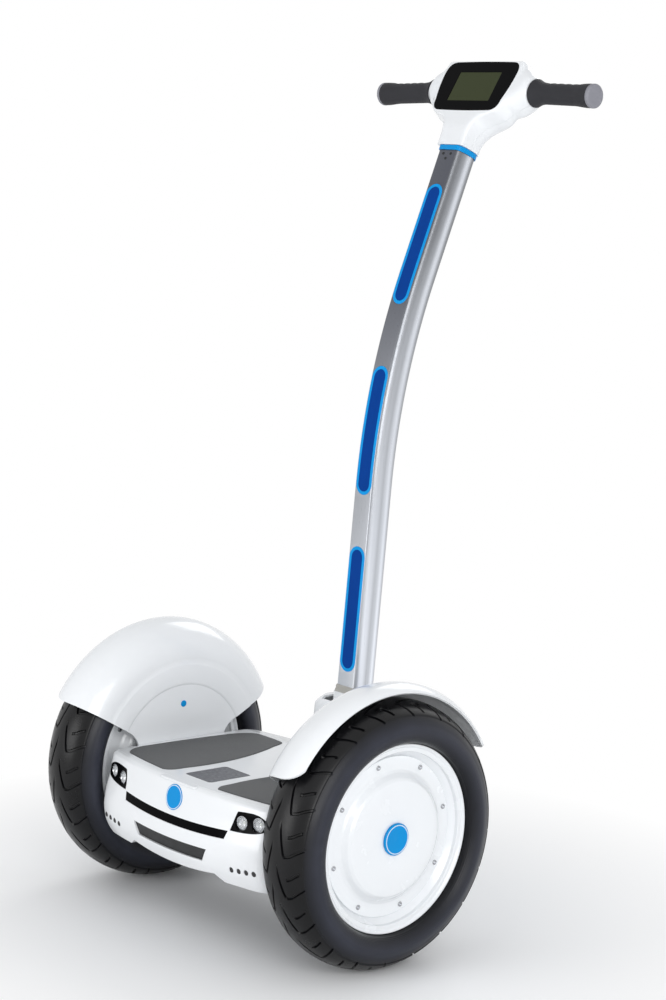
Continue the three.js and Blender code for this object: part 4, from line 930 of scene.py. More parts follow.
def fender_outline():
    """What is left of the disc seen from the side: a tab below and the crown above."""
    beyond = CROWN_RADIUS + OVERRUN
    rear_angle = 180 - REAR_CUT
    front_reach = TAB_HALF / math.cos(math.radians(FRONT_CUT))
    rear_reach = TAB_HALF / math.cos(math.radians(REAR_CUT))
    front_rise = TAB_HALF * math.tan(math.radians(FRONT_CUT)) - TAB_FILLET
    rear_rise = TAB_HALF * math.tan(math.radians(REAR_CUT)) - TAB_FILLET
    low = -TAB_DROP + TAB_FILLET
    return ring_of([
        [(TAB_HALF, low), (TAB_HALF, 0), (TAB_HALF, front_rise)],
        [(TAB_HALF, front_rise), ray(FRONT_CUT, front_reach), ray(FRONT_CUT, front_reach + TAB_FILLET)],
    ], 12) + [ray(FRONT_CUT, front_reach + TAB_FILLET)] + arc(
        0, 0, beyond, beyond, FRONT_CUT, rear_angle, 24) + ring_of([
            [ray(rear_angle, rear_reach + TAB_FILLET), ray(rear_angle, rear_reach), (-TAB_HALF, rear_rise)],
            [(-TAB_HALF, rear_rise), (-TAB_HALF, 0), (-TAB_HALF, low)],
            [(-TAB_HALF, low), (-TAB_HALF, -TAB_DROP), (-TAB_HALF + TAB_FILLET, -TAB_DROP)],
            [(-TAB_HALF + TAB_FILLET, -TAB_DROP), (TAB_HALF - TAB_FILLET, -TAB_DROP)],
            [(TAB_HALF - TAB_FILLET, -TAB_DROP), (TAB_HALF, -TAB_DROP), (TAB_HALF, low)],
        ], 12)


def corner_trim(angle, along):
    """A cutter that rounds the outer corner at one end of the fender."""
    lip_x = CROWN_X + LIP_RADIUS * math.sin(math.radians(LIP_TURN))
    start = lip_x - TRIM_WIDTH
    outline = [(lip_x + OVERRUN, -OVERRUN), (start - OVERRUN, -OVERRUN)]
    outline += bend((start, 0), (lip_x, 0), (lip_x, TRIM_LENGTH), 16)
    outline += [(lip_x, TRIM_LENGTH), (lip_x + OVERRUN, TRIM_LENGTH)]
    form = slab(outline, "Z", WAIST, CROWN_RADIUS + OVERRUN)
    if along < 0:
        bmesh.ops.scale(form, vec=(1, -1, 1), verts=form.verts)
        bmesh.ops.reverse_faces(form, faces=form.faces)
    return rotated(form, math.radians(angle - 90), "X")


class Fenders(bpy.types.Operator):
    """Makes the two fenders and the blue dot on each"""

    bl_idname = "scooter.fenders"
    bl_label = "Fenders"

    def execute(self, context):
        shell = spun(fender_profile(0) + fender_profile(FENDER_WALL)[::-1], 180)
        outline = slab(fender_outline(), "X", PLANE - STEP_HEIGHT - OVERRUN, WHEEL.x / MM + TYRE_HALF)
        form = cut(
            common(shell, outline), rod("X", AXLE_HOLE, PLANE - OVERRUN, PLANE + FENDER_WALL + OVERRUN),
            corner_trim(FRONT_CUT, -1), corner_trim(180 - REAR_CUT, 1),
        )
        profile = [(0, PLANE + 1), (DOT_RADIUS, PLANE + 1), (DOT_RADIUS, PLANE - 1.2), (0, PLANE - 1.6)]
        dot = shifted(turned(profile, 0.6, 3, 40), 0, 0, DOT_RISE)
        for (_, word), *forms in zip(SIDES, both_sides(form), both_sides(dot)):
            fender, spot = [shifted(f, 0, 0, WHEEL.z / MM) for f in forms]
            piece(f"fender_{word}_finished", fender, "chassis", "white_panel",
                  bevel=sizes().edge_round / MM)
            piece(f"fender_dot_{word}", spot, "chassis", "gloss_blue")
        return {"FINISHED"}


# Body

DECK_TOP = 234.5
BODY_HEIGHT = 123.5
BODY_BOTTOM = DECK_TOP - BODY_HEIGHT
BODY_HALF = 198.0
REAR_REACH = 180.5
FRONT_REACH = 178.0
PLAN_RADIUS = 830.0
BODY_CORNER = 22.0
BODY_LEAN = 14.5
BODY_TUCK = 8.0
BODY_LEVELS = (0, 0.06, 0.2, 0.36, 0.55, 0.75, 0.97, 1)
BODY_LEANS = (1, 0.7, 0.2, 0, 0.2, 0.65, 1, 1.4)
BODY_TUCKS = (1, 0.32, 0, 0, 0, 0, 0, 0.4)
SHELL_WALL = 3.0
DECK_UNDER = DECK_TOP - 4
DECK_SEAM = 7.0
DECK_FRONT = 126.0
FASCIA_FRONT = 75 - REAR_REACH
OUTSIDE = BODY_HALF + OVERRUN
REARMOST = -REAR_REACH - OVERRUN
REAR_INSIDE = -REAR_REACH + 2 * BODY_CORNER
RECESS_FLOOR = DECK_TOP - 2
MAT_HEIGHT = 3.0
PLATE_HALF = 30.0
PLATE_LENGTH = 79.0
PLATE_CENTRE = -88.5
PLATE_CORNER = 5.5
LIP_CORNERS = ((42, -166), (40, -154), (-40, -154), (-42, -166))
FITTINGS = ((112.0, 11), (-112.0, 7))  # across the cowl, radius: charging socket and power button
FITTING_Z = 172.0
FITTING_DEPTH = 60.0
MAT_BOX = (50.0, 187.0, -141.0, 122.0)
MAT_CURVES = (
    ((0.03, 0.12), (0.02, 0.02), (0.12, 0)), ((0.12, 0), (0.5, 0.015), (0.84, 0.05)),
    ((0.84, 0.05), (0.97, 0.08), (1, 0.2)), ((1, 0.2), (1, 0.5), (0.96, 0.78)),
    ((0.96, 0.78), (0.93, 0.97), (0.78, 1)), ((0.78, 1), (0.55, 1.005), (0.36, 0.995)),
    ((0.36, 0.995), (0.3, 0.99), (0.26, 0.9)), ((0.26, 0.9), (-0.08, 0.5), (0.03, 0.12)),
)
LAMP_BOX = (124.5, 190.0, 192.3, 222.8)
LAMP_CURVES = (
    ((0, 0), (0.25, 0.01), (0.45, 0.06)), ((0.45, 0.06), (0.75, 0.13), (0.9, 0.3)),
    ((0.9, 0.3), (1.06, 0.55), (0.9, 0.8)), ((0.9, 0.8), (0.75, 1.04), (0.45, 1)),
    ((0.45, 1), (0.25, 0.98), (0.12, 0.93)), ((0.12, 0.93), (0.05, 0.6), (0, 0)),
)
LENSES = ((171.0, 209.0), (141.5, 205.6))
LENS_RADIUS = 10.5
LENS_SETBACK = 1.2
LAMP_DEPTH = 9.0

# Finish of each unit in a lamp and its profile, as (radius, depth) from the lamp's face
LAMP_UNITS = {
    "lamp_reflector": ("reflector", (
        (10.4, -0.6), (9.5, -0.6), (9.2, -1.8), (7.4, -4.2), (4.6, -6), (2.4, -6.6), (0, -6.7), (0, -8.4),
        (10.4, -8.4))),
    "lamp_led": ("led_white", ((0, -4.4), (1.6, -4.7), (2.3, -5.6), (2.3, -6.5), (0, -6.5))),
    "lamp_lens": ("lens", (
        (0, 0.4), (5, 0.1), (8.6, -0.8), (9.3, -1.3), (9.3, -2), (8.4, -1.6), (5, -0.8), (0, -0.5))),
}

BADGE_Z = DECK_TOP - 22.8
BADGE_RADIUS = 18.5
BADGE_SEAT = 1.0
BADGE_BORDER = (1.0, 2.2)    # its outer and inner edge, in from the badge's
BAR_BAND = (121.0, DECK_TOP - 43.9, 12.2, 4.6, 4.07)
VENT_BAND = (86.0, DECK_TOP - 79, 19.0, 2.0, 9.5)
VENT_SETBACK = 3.0
BAND_REACH = -126.0          # where the cuts behind the bar and the vent end
BAND_WALL = 5.0
SLATS = 3                    # grooves across the vent
SLAT_WIDTH = 1.4
SLAT_DEPTH = 1.2
APRON_WIDE = 112.0
APRON_NARROW = 96.0
APRON_HEIGHT = 10.0
APRON_SAG = 15.0
APRON_REACH = -130.0
DOT_HOLE = 4.1
DOTS = tuple((134.5 + 13.7 * k, DECK_TOP - 97.7 + 1.1 * k) for k in range(4))
NECK_LEVELS = (0, 0.2, 0.45, 0.7, 0.92, 1)
NECK_BEAKS = (0.35, 0.65, 0.92, 1, 1, 0.85)
NECK_CLOSING = (0, 0, 0, 0, 0.1, 1)
NECK_FOOT = DECK_TOP - 99.5
NECK_HEIGHT = 185.0
NECK_HALF = 64.0
NECK_REAR = 142.0
NECK_DEPTH = 83.0
NECK_CORNER = 24.0
NECK_SHOULDER = 14.0         # how far its roof draws in
NECK_SLOT = (-38.5, 38.5, 147, 211, 280, 324)
NECK_NOTCH = (-48.3, 48.3, 138, 166, BODY_BOTTOM, DECK_UNDER - GAP)


def bow(x):
    """How far the rear and front faces draw in at a place across the body."""
    return x * x / (2 * PLAN_RADIUS)


def body_form(inset):
    """The chassis body's outside, or a form so far inside it."""
    rings = []
    count = 34
    for i in range(count + 1):
        share = 0.5 - 0.5 * math.cos(math.pi * i / count)
        z = BODY_BOTTOM + inset + share * (BODY_HEIGHT - 2 * inset)
        lean = inset + BODY_LEAN * smooth_table(BODY_LEVELS, BODY_LEANS, share)
        half = BODY_HALF - inset - BODY_TUCK * smooth_table(BODY_LEVELS, BODY_TUCKS, share)
        corner = BODY_CORNER - inset
        y0, y1, end = lean - REAR_REACH, FRONT_REACH - lean, half - corner
        s, e = bow(half), bow(end)
        rings.append([(x, y, z) for x, y in ring_of([
            [(half, y0 + s + corner), (half, y1 - s - corner)],
            [(half, y1 - s - corner), (half, y1 - s), (end, y1 - e)],
            [(end, y1 - e), (0, y1 + e), (-end, y1 - e), 28],
            [(-end, y1 - e), (-half, y1 - s), (-half, y1 - s - corner)],
            [(-half, y1 - s - corner), (-half, y0 + s + corner)],
            [(-half, y0 + s + corner), (-half, y0 + s), (-end, y0 + e)],
            [(-end, y0 + e), (0, y0 - e), (end, y0 + e), 28],
            [(end, y0 + e), (half, y0 + s), (half, y0 + s + corner)],
        ], 8)])
    return lofted(rings)


def face_inset(x, z):
    """How far the rear face stands in from its rearmost line at a place on it."""
    share = (z - BODY_BOTTOM) / BODY_HEIGHT
    return bow(x) + BODY_LEAN * smooth_table(BODY_LEVELS, BODY_LEANS, share)


def skin(outer, inner):
    """A layer of the body between two insets."""
    return cut(body_form(outer), body_form(inner))


def grown(box, growth):
    return (box[0] - growth, box[1] + growth, box[2] - growth, box[3] + growth)


def rectangle(half_x, half_y, radius, middle, count=5):
    return rounded([(half_x, middle - half_y), (half_x, middle + half_y), (-half_x, middle + half_y),
                    (-half_x, middle - half_y)], radius, count)


def deck_outline(clearance):
    """The deck seen from above, its rear edge along the seam with the fascia."""
    seam = BODY_LEAN * BODY_LEANS[-1] - REAR_REACH + DECK_SEAM - clearance
    rear = [(OUTSIDE * (i / 20 - 1), seam + bow(OUTSIDE * (i / 20 - 1))) for i in range(41)]
    return rear + [(OUTSIDE, DECK_FRONT + clearance), (-OUTSIDE, DECK_FRONT + clearance)]


def band_outline(half, top, thickness, sag, taper, growth=0.0):
    """A band that sags in its middle, its top edge and thickness given at its ends."""
    bottom, low = top - thickness - growth, half + growth - taper
    top, half = top + growth, half + growth
    return (bend((-half, top), (0, top - 2 * sag), (half, top), 28) + [(half, top)]
            + bend((low, bottom), (0, bottom - 2 * sag), (-low, bottom), 28) + [(-low, bottom)])


def apron(growth):
    """A cutter for the rise in the fascia's lower edge."""
    wide, narrow = APRON_WIDE + growth, APRON_NARROW + growth
    low, top = BODY_BOTTOM - OVERRUN, BODY_BOTTOM + APRON_HEIGHT + growth
    outline = [(-wide, low), (-wide, BODY_BOTTOM)]
    outline += bend((-narrow, top), (0, top - APRON_SAG), (narrow, top), 24)
    outline += [(narrow, top), (wide, BODY_BOTTOM), (wide, low)]
    return slab(outline, "Y", REARMOST, APRON_REACH - GAP)


def neck_form(inset, down=0.0):
    """The neck housing's outside, or a form so far inside it, with its foot let down."""
    rings = []
    count = 30
    for i in range(count + 1):
        share = math.sin(math.pi / 2 * i / count)
        beak = NECK_REAR + NECK_DEPTH * smooth_table(NECK_LEVELS, NECK_BEAKS, share)
        close = NECK_SHOULDER * smooth_table(NECK_LEVELS, NECK_CLOSING, share)
        z = NECK_FOOT + share * (NECK_HEIGHT - inset) - (0 if i else down)
        rings.append([(x, y, z) for x, y in soft_ring(
            NECK_HALF - inset - close, NECK_REAR + inset + close / 2, beak - inset, NECK_CORNER - inset)])
    return lofted(rings)


class Body(bpy.types.Operator):
    """Makes the deck, the rear fascia with its fittings, the cowl, the neck and the belly"""

    bl_idname = "scooter.body"
    bl_label = "Body"

    def execute(self, context):
        edge = sizes().edge_round / MM
        self.deck(edge)
        self.fascia(edge)
        self.fittings()
        self.lamps()
        shell = skin(0, SHELL_WALL)
        front = block(-OUTSIDE, OUTSIDE, DECK_FRONT + 2 * GAP, FRONT_REACH + OVERRUN, 0, DECK_TOP + OVERRUN)
        bores = [rod("Y", radius + GAP, FRONT_REACH - FITTING_DEPTH, FRONT_REACH, x, FITTING_Z)
                 for x, radius in FITTINGS]
        cowl = cut(common(shell.copy(), front), neck_form(-GAP), *bores)
        piece("front_cowl_finished", cowl, "chassis", "white_panel", bevel=edge)
        below = block(-OUTSIDE, OUTSIDE, FASCIA_FRONT + GAP, DECK_FRONT, 0, DECK_UNDER - GAP)
        tub = cut(common(shell, below), rod("X", AXLE_HOLE, -OUTSIDE, OUTSIDE, 0, WHEEL.z / MM))
        piece("belly_tub_finished", tub, "chassis", "tub_plastic", bevel=edge)
        neck = cut(neck_form(0), neck_form(SHELL_WALL, OVERRUN), block(*NECK_SLOT), block(*NECK_NOTCH))
        piece("neck_housing_finished", neck, "chassis", "white_panel", bevel=edge)
        return {"FINISHED"}

    def deck(self, edge):
        above = DECK_TOP + OVERRUN
        blank = common(body_form(0), slab(deck_outline(0), "Z", DECK_UNDER, above))
        recesses = both_sides(slab(in_box(MAT_CURVES, *grown(MAT_BOX, GAP)), "Z", RECESS_FLOOR, above))
        plate = rectangle(PLATE_HALF + GAP, PLATE_LENGTH / 2 + GAP, PLATE_CORNER + GAP, PLATE_CENTRE, 6)
        recesses.append(slab(plate, "Z", RECESS_FLOOR, above))
        piece("deck_shell_finished", cut(blank, *recesses), "chassis", "white_panel", bevel=edge)
        floor = RECESS_FLOOR + GAP
        mat = slab(in_box(MAT_CURVES, *MAT_BOX), "Z", floor, floor + MAT_HEIGHT)
        for (_, word), form in zip(SIDES, both_sides(mat)):
            piece(f"foot_mat_{word}_finished", form, "chassis", "mat_rubber", bevel=1.1)
        lip = slab(rounded(LIP_CORNERS, 4, 5), "Z", DECK_TOP - 3, DECK_TOP + 0.8)
        piece("deck_lip", lip, "chassis", "white_panel", bevel=0.8)

    def fascia(self, edge):
        openings = [slab(band_outline(*band, GAP), "Y", REARMOST, BAND_REACH)
                    for band in (BAR_BAND, VENT_BAND)]
        openings += both_sides(slab(in_box(LAMP_CURVES, *grown(LAMP_BOX, GAP)), "Y", REARMOST, REAR_INSIDE))
        openings += [rod("Y", DOT_HOLE, REARMOST, REAR_INSIDE, side * x, z, 24)
                     for side, _ in SIDES for x, z in DOTS]
        seat = cut(rod("Y", BADGE_RADIUS + GAP, REARMOST, REAR_INSIDE, 0, BADGE_Z, 64),
                   body_form(BADGE_SEAT))
        hollow = cut(cut(body_form(0), apron(0)), cut(body_form(SHELL_WALL), apron(SHELL_WALL)))
        rear = block(-OUTSIDE, OUTSIDE, REARMOST, FASCIA_FRONT, 0, DECK_TOP + OVERRUN)
        lid = slab(deck_outline(GAP), "Z", DECK_UNDER - GAP, DECK_TOP + OVERRUN)
        form = cut(common(hollow, rear), lid, seat, *openings)
        piece("rear_fascia_finished", form, "chassis", "white_panel", bevel=edge * 0.7)

    def fittings(self):
        radii = (BADGE_RADIUS, *(BADGE_RADIUS - edge for edge in BADGE_BORDER))
        disc, outer, inner = [
            rod("Y", radius, REARMOST - beyond, REAR_INSIDE + beyond, 0, BADGE_Z, 96)
            for radius, beyond in zip(radii, (0, 0, 1))]
        piece("rear_badge_finished", common(skin(-0.6, 0.7), disc), "chassis", "gloss_blue", bevel=0.3)
        ring = common(skin(-0.9, 0.5), cut(outer, inner))
        piece("rear_badge_border", ring, "chassis", "border_white")
        bar = common(skin(0.3, BAND_WALL), slab(band_outline(*BAR_BAND), "Y", REARMOST, BAND_REACH))
        piece("dark_bar_finished", bar, "chassis", "gloss_black", bevel=0.5)
        half, top, height, *_ = VENT_BAND
        window = slab(band_outline(*VENT_BAND), "Y", REARMOST, BAND_REACH)
        vent = common(skin(VENT_SETBACK, VENT_SETBACK + BAND_WALL), window)
        slats = [band_outline(half - height, top - height * (k + 1) / (SLATS + 1), SLAT_WIDTH, 2.0, 0)
                 for k in range(SLATS)]
        grooves = [slab(slat, "Y", REARMOST, VENT_SETBACK + SLAT_DEPTH - REAR_REACH) for slat in slats]
        piece("vent_panel_finished", cut(vent, *grooves), "chassis", "dark_plastic", bevel=0.3)
        plugs = []
        for side, _ in SIDES:
            for x, z in DOTS:
                face = face_inset(x, z) - REAR_REACH
                plugs.append(rod("Y", DOT_HOLE - 0.1, face + 0.4, face + 3.2, side * x, z, 24))
        piece("fascia_dots", gathered(plugs), "chassis", "dark_plastic", bevel=0.2)

    def lamps(self):
        pocket = slab(in_box(LAMP_CURVES, *LAMP_BOX), "Y", REARMOST, REAR_INSIDE)
        eyes = [rod("Y", LENS_RADIUS + GAP, REARMOST, FASCIA_FRONT, x, z, 64) for x, z in LENSES]
        housing = cut(common(skin(0, LAMP_DEPTH), pocket), *eyes)
        for (_, word), copy in zip(SIDES, both_sides(housing)):
            piece(f"lamp_housing_{word}_finished", copy, "chassis", "gloss_black", bevel=0.5)
        for name, (kind, profile) in LAMP_UNITS.items():
            units = []
            for x, z in LENSES:
                unit = rotated(spun(profile, 64), math.radians(-90), "Z")
                rotated(unit, bow(x) * 2 / x, "Z")
                units.append(shifted(unit, x, face_inset(x, z) - REAR_REACH + LENS_SETBACK, z))
            for (_, word), copy in zip(SIDES, both_sides(gathered(units))):
                piece(f"{name}_{word}_finished", copy, "chassis", kind)


# Column

PIVOT = Vector((0, 179, 280))
POLE_HALF = 25.0
POLE_DEPTH = 22.5            # centre line to the flat rear face
POLE_NOSE = 16.0             # corner radius at the front
POLE_FACE = 16.5             # half width of that face
LOW_LEAN = math.radians(2.6)
BEND_TURN = math.radians(17.8)
LOW_LENGTH = 374.4
BEND_RADIUS = 1078.5
HIGH_LENGTH = 222.0
BEND_END = LOW_LENGTH + BEND_RADIUS * BEND_TURN
POLE_LENGTH = BEND_END + HIGH_LENGTH
SOCKET_FLOOR = 20.0
STRIP_STARTS = (0.0902, 0.3884, 0.704)
STRIP_LENGTH = 197.0
STRIP_HALF = 17.0
RING_STATION = BEND_END + 200
RING_HEIGHT = 8.0
RING_GROWTH = 2.2
POLE_WALL = 4.0
BORE_CORNER = 8.0
POLE_SLICE = 12.0            # between the cuts that let the pole bend
STRIP_SLICE = 8.0
FACE_FADE = 5.0              # width over which the rear face's tone goes over to the flank's
FACE_END = POLE_FACE + FACE_FADE - 1
STRIP_RECESS = 1.4
STRIP_BORDER = 5.0
SCREW_PLACES = ((-8, 6), (8, 6), (0, 14))  # across the pole, below the ring
POLE_SCREW = (2.2, 0.5, 1.2)
BOOT = ((0.4, 49), (3.8, 49), (4, 50), (3.6, 53), (2.4, 55), (2.6, 58), (1.8, 60), (0.4, 61))


def station(s):
    """Turn and place of the pole's centre line, so many mm from the lean pivot."""
    low = min(s, LOW_LENGTH)
    curve = min(max(s - LOW_LENGTH, 0), BEND_END - LOW_LENGTH)
    high = max(s - BEND_END, 0)
    turn = LOW_LEAN + curve / BEND_RADIUS
    sine, cosine = math.sin(LOW_LEAN), math.cos(LOW_LEAN)
    y = low * sine + BEND_RADIUS * (cosine - math.cos(turn)) + high * math.sin(turn)
    z = low * cosine + BEND_RADIUS * (math.sin(turn) - sine) + high * math.cos(turn)
    return turn, PIVOT + Vector((0, y, z))


def bent(form):
    """Bends a straight form, drawn up the Z axis with y to the front, along the pole."""
    for vert in form.verts:
        x, depth, s = vert.co
        turn, centre = station(s)
        vert.co = centre + Vector((x, depth * math.cos(turn), -depth * math.sin(turn)))
    return form


def pole_section(growth):
    """The pole's outline: flat to the rear, with bowed flanks and a round-cornered front."""
    half, depth, nose = POLE_HALF + growth, POLE_DEPTH + growth, POLE_NOSE + growth
    flank = half - POLE_FACE
    return (arc(half - nose, depth - nose, nose, nose, 0, 90, 12)
            + arc(nose - half, depth - nose, nose, nose, 90, 180, 12)
            + arc(-POLE_FACE, 0, flank, depth, 180, 270, 12)
            + arc(POLE_FACE, 0, flank, depth, 270, 360, 12)[:-1])


def strip_slab(middle, inset, y0, y1):
    """A long slot with round ends on the pole's rear face, from one depth to another."""
    half = STRIP_HALF - inset
    reach = STRIP_LENGTH / 2 - inset - half
    outline = arc(0, middle + reach, half, half, 0, 180, 14)
    outline += arc(0, middle - reach, half, half, 180, 360, 14)
    return slab(outline, "Y", y0 - POLE_DEPTH, y1 - POLE_DEPTH)


def sliced(form, start, end, step):
    """Cuts a straight form across at even heights, so that it can be bent."""
    height = start + step
    while height < end:
        geometry = form.verts[:] + form.edges[:] + form.faces[:]
        bmesh.ops.bisect_plane(form, geom=geometry, plane_co=(0, 0, height), plane_no=(0, 0, 1))
        height += step
    return form


class Column(bpy.types.Operator):
    """Makes the curved pole with its light strips and collar ring"""

    bl_idname = "scooter.column"
    bl_label = "Column"

    def execute(self, context):
        middles = [POLE_LENGTH * share + STRIP_LENGTH / 2 for share in STRIP_STARTS]
        self.pole(middles)
        self.strips(middles)
        ring = cut(
            slab(pole_section(RING_GROWTH), "Z", RING_STATION, RING_STATION + RING_HEIGHT),
            slab(pole_section(GAP), "Z", RING_STATION - OVERRUN, RING_STATION + RING_HEIGHT + OVERRUN))
        piece("collar_ring_finished", bent(ring), "column", "gloss_blue", bevel=0.8)
        screws = []
        for across, below in SCREW_PLACES:
            screw = rotated(screw_form(*POLE_SCREW), math.radians(-90), "Z")
            screws.append(shifted(screw, across, -POLE_DEPTH, RING_STATION - below))
        piece("pole_screws", bent(gathered(screws)), "column", "dark_plastic")
        boot = lofted([[(x, y, s) for x, y in pole_section(growth)] for growth, s in BOOT])
        piece("pole_boot", bent(boot), "column", "boot_rubber", sharp=60)
        return {"FINISHED"}

    def pole(self, middles):
        start = SOCKET_FLOOR + GAP
        body = slab(pole_section(0), "Z", start, POLE_LENGTH)
        depth = POLE_DEPTH - POLE_WALL
        bore = soft_ring(POLE_HALF - POLE_WALL, -depth, depth, BORE_CORNER, 6)
        hollow = slab(bore, "Z", start - OVERRUN, POLE_LENGTH + OVERRUN)
        recesses = [strip_slab(middle, -GAP, -OVERRUN, STRIP_RECESS) for middle in middles]
        form = sliced(cut(body, hollow, *recesses), start, POLE_LENGTH, POLE_SLICE)
        face = form.verts.layers.float.new("rear_face")
        flank = form.verts.layers.float.new("flank")
        for vert in form.verts:
            x, y, _ = vert.co
            share = min(max((FACE_END - abs(x)) / FACE_FADE, 0), 1)
            vert[face] = share if y < -POLE_DEPTH * 0.4 else 0
            vert[flank] = (y + POLE_DEPTH) / (2 * POLE_DEPTH)
        piece("pole_finished", bent(form), "column", "pole_metal", sharp=50)

    def strips(self, middles):
        for middle, word in zip(middles, ("lower", "middle", "upper")):
            ends = (middle - STRIP_LENGTH / 2, middle + STRIP_LENGTH / 2, STRIP_SLICE)
            edge = cut(strip_slab(middle, 0, -0.4, 1.1), strip_slab(middle, STRIP_BORDER, -OVERRUN, 0.2))
            piece(f"light_strip_{word}_edge", bent(sliced(edge, *ends)), "column", "strip_edge", bevel=0.3,
                  node=f"light_strip_{word}")
            core = strip_slab(middle, STRIP_BORDER + 0.2, -0.7, 0.1)
            piece(f"light_strip_{word}_core", bent(sliced(core, *ends)), "column", "strip_core", bevel=0.4)


# Head

TILT = math.radians(31)
HEAD_RISE = 91.9             # end of the pole to the bar axis, along the display
HEAD_SETBACK = 1.1
END_TURN, POLE_END = station(POLE_LENGTH)
BAR = POLE_END + Vector((0, HEAD_RISE * math.sin(TILT) - HEAD_SETBACK * math.cos(TILT),
                         HEAD_RISE * math.cos(TILT) + HEAD_SETBACK * math.sin(TILT)))
HEAD = Matrix.Translation(BAR) @ Matrix.Rotation(-TILT, 4, "X")
HEAD_HALF = 107.5
HEAD_TOP = 42.0
HEAD_FOOT = 104.5
POD_HALF = 86.0
HEAD_REAR = 27.5
HEAD_FRONT = 27.0
HEAD_WALL = 2.6
HEAD_CORNER = 4.0
HUB_RADIUS = 21.5
NOSE_SHARE = 0.4
SLEEVE = (POLE_DEPTH + HEAD_WALL + GAP) / math.cos(TILT - END_TURN)
HEAD_LEVELS = (-1, -0.875, -0.76, -0.66, -0.575, -0.517, -0.469, -0.372, -0.13, 0.24, 0.68, 1)
HEAD_REARS = (0.33, 0.33, 0.345, 0.39, 0.52, 0.7, 0.81, 0.88, 0.95, 0.99, 0.985, 0.95)
HEAD_WIDTHS = (0.33, 0.33, 0.36, 0.46, 0.62, 0.79, 0.89, 0.95, 1, 1, 0.96, 0.9)
HEAD_FRONTS = (1, 1, 1, 1, 1, 1, 1, 0.97, 0.9, 0.74, 0.54, 0.42)
HEAD_LEVELLING = (0, 0, 0, 0, 0, 0, 0, 0, 0, 0.14, 0.36, 0.56)
LIFT_FADE = ((0, 0.5, 1), (1, 1, 0.35))
HUB_STATIONS = (0, 0.7, 0.79, 0.86, 0.93, 1)
HUB_RADII = (1.8, 1.84, 1.78, 1.55, 1.22, 1)
NECK_TAIL = 10 / HEAD_FOOT   # how far the head's form starts below its foot
GLASS_TOP = 78.0
GLASS_BOTTOM = 71.0
GLASS_HALF = 44.5
GLASS_CENTRE = -5.9
GLASS_CORNER = 20.0
GLASS_WALL = 2.0
MODULE_DEPTH = 10.0
LCD_HALF_WIDTH = 45.0
LCD_HALF_HEIGHT = 26.5
LCD_CENTRE = -6.5
TUBE = 11.0
GRIP_START = 108.5
GRIP_LENGTH = 116.0
GRIP_CAP = 7.0
GRIP_DROOP = math.radians(1.9)
GRIP_FLANGE = 21.5
GRIP_WAIST = 16.5
GRIP_TAIL = 18.4
GRIP_SWELL = ((0, 0.7, 0.97, 1), (0, 0, 1, 0.95))
RIPPLE_START = 0.18
RIPPLE_END = 0.85
RIPPLE_HEIGHT = 1.5


def head_ring(rear_half, half, y0, y1, z, slope):
    """A ring of the head: flat to the rear, round to the front, its front lifted by the slope."""
    middle = (y0 + y1) / 2
    nose = half * NOSE_SHARE
    near = (rear_half + (half - rear_half) * 0.7, y0 + HEAD_CORNER + (middle - y0 - HEAD_CORNER) * 0.7)
    flank = (half, middle + (y1 - middle) * 0.2)
    ring = ring_of([
        [(rear_half, y0 + HEAD_CORNER), near], [near, (half, middle), flank],
        [flank, (half, y1), (nose, y1)], [(nose, y1), (-nose, y1)],
        [(-nose, y1), (-half, y1), (-half, flank[1])],
        [(-half, flank[1]), (-half, middle), (-near[0], near[1])],
        [(-near[0], near[1]), (-rear_half, y0 + HEAD_CORNER)],
        [(-rear_half, y0 + HEAD_CORNER), (-rear_half, y0), (-rear_half + HEAD_CORNER, y0)],
        [(-rear_half + HEAD_CORNER, y0), (rear_half - HEAD_CORNER, y0)],
        [(rear_half - HEAD_CORNER, y0), (rear_half, y0), (rear_half, y0 + HEAD_CORNER)],
    ], 6)
    return [(x, y, z + slope * (y - y0) * smooth_table(*LIFT_FADE, abs(x) / half)) for x, y in ring]


def neck_and_pod():
    """The neck round the pole's end, which swells into the display's pod."""
    rings = []
    count = 56
    for i in range(count + 1):
        share = -1 - NECK_TAIL + (2 + NECK_TAIL) * i / count
        rear_half, half, front, level = [smooth_table(HEAD_LEVELS, values, max(share, -1)) for values in (
            HEAD_REARS, HEAD_WIDTHS, HEAD_FRONTS, HEAD_LEVELLING)]
        z = share * (HEAD_FOOT if share < 0 else HEAD_TOP)
        centre = HEAD_SETBACK - (z + HEAD_RISE) * math.tan(TILT - END_TURN)
        y1 = max(HEAD_FRONT * front, centre + SLEEVE) if share < 0 else HEAD_FRONT * front
        rings.append(head_ring(POD_HALF * rear_half, POD_HALF * half, max(-HEAD_REAR, centre - SLEEVE), y1,
                               z, level * math.tan(TILT)))
    return lofted(rings)


def cross_hub():
    """The part of the head that carries the bar, from grip to grip."""
    rings = []
    count = 30
    for i in range(-count, count + 1):
        radius = HUB_RADIUS * smooth_table(HUB_STATIONS, HUB_RADII, abs(i) / count)
        depth = min(radius, HEAD_REAR - GAP)
        rings.append([(HEAD_HALF * i / count, y, x) for x, y in soft_ring(radius, -depth, depth, depth)])
    return lofted(rings)


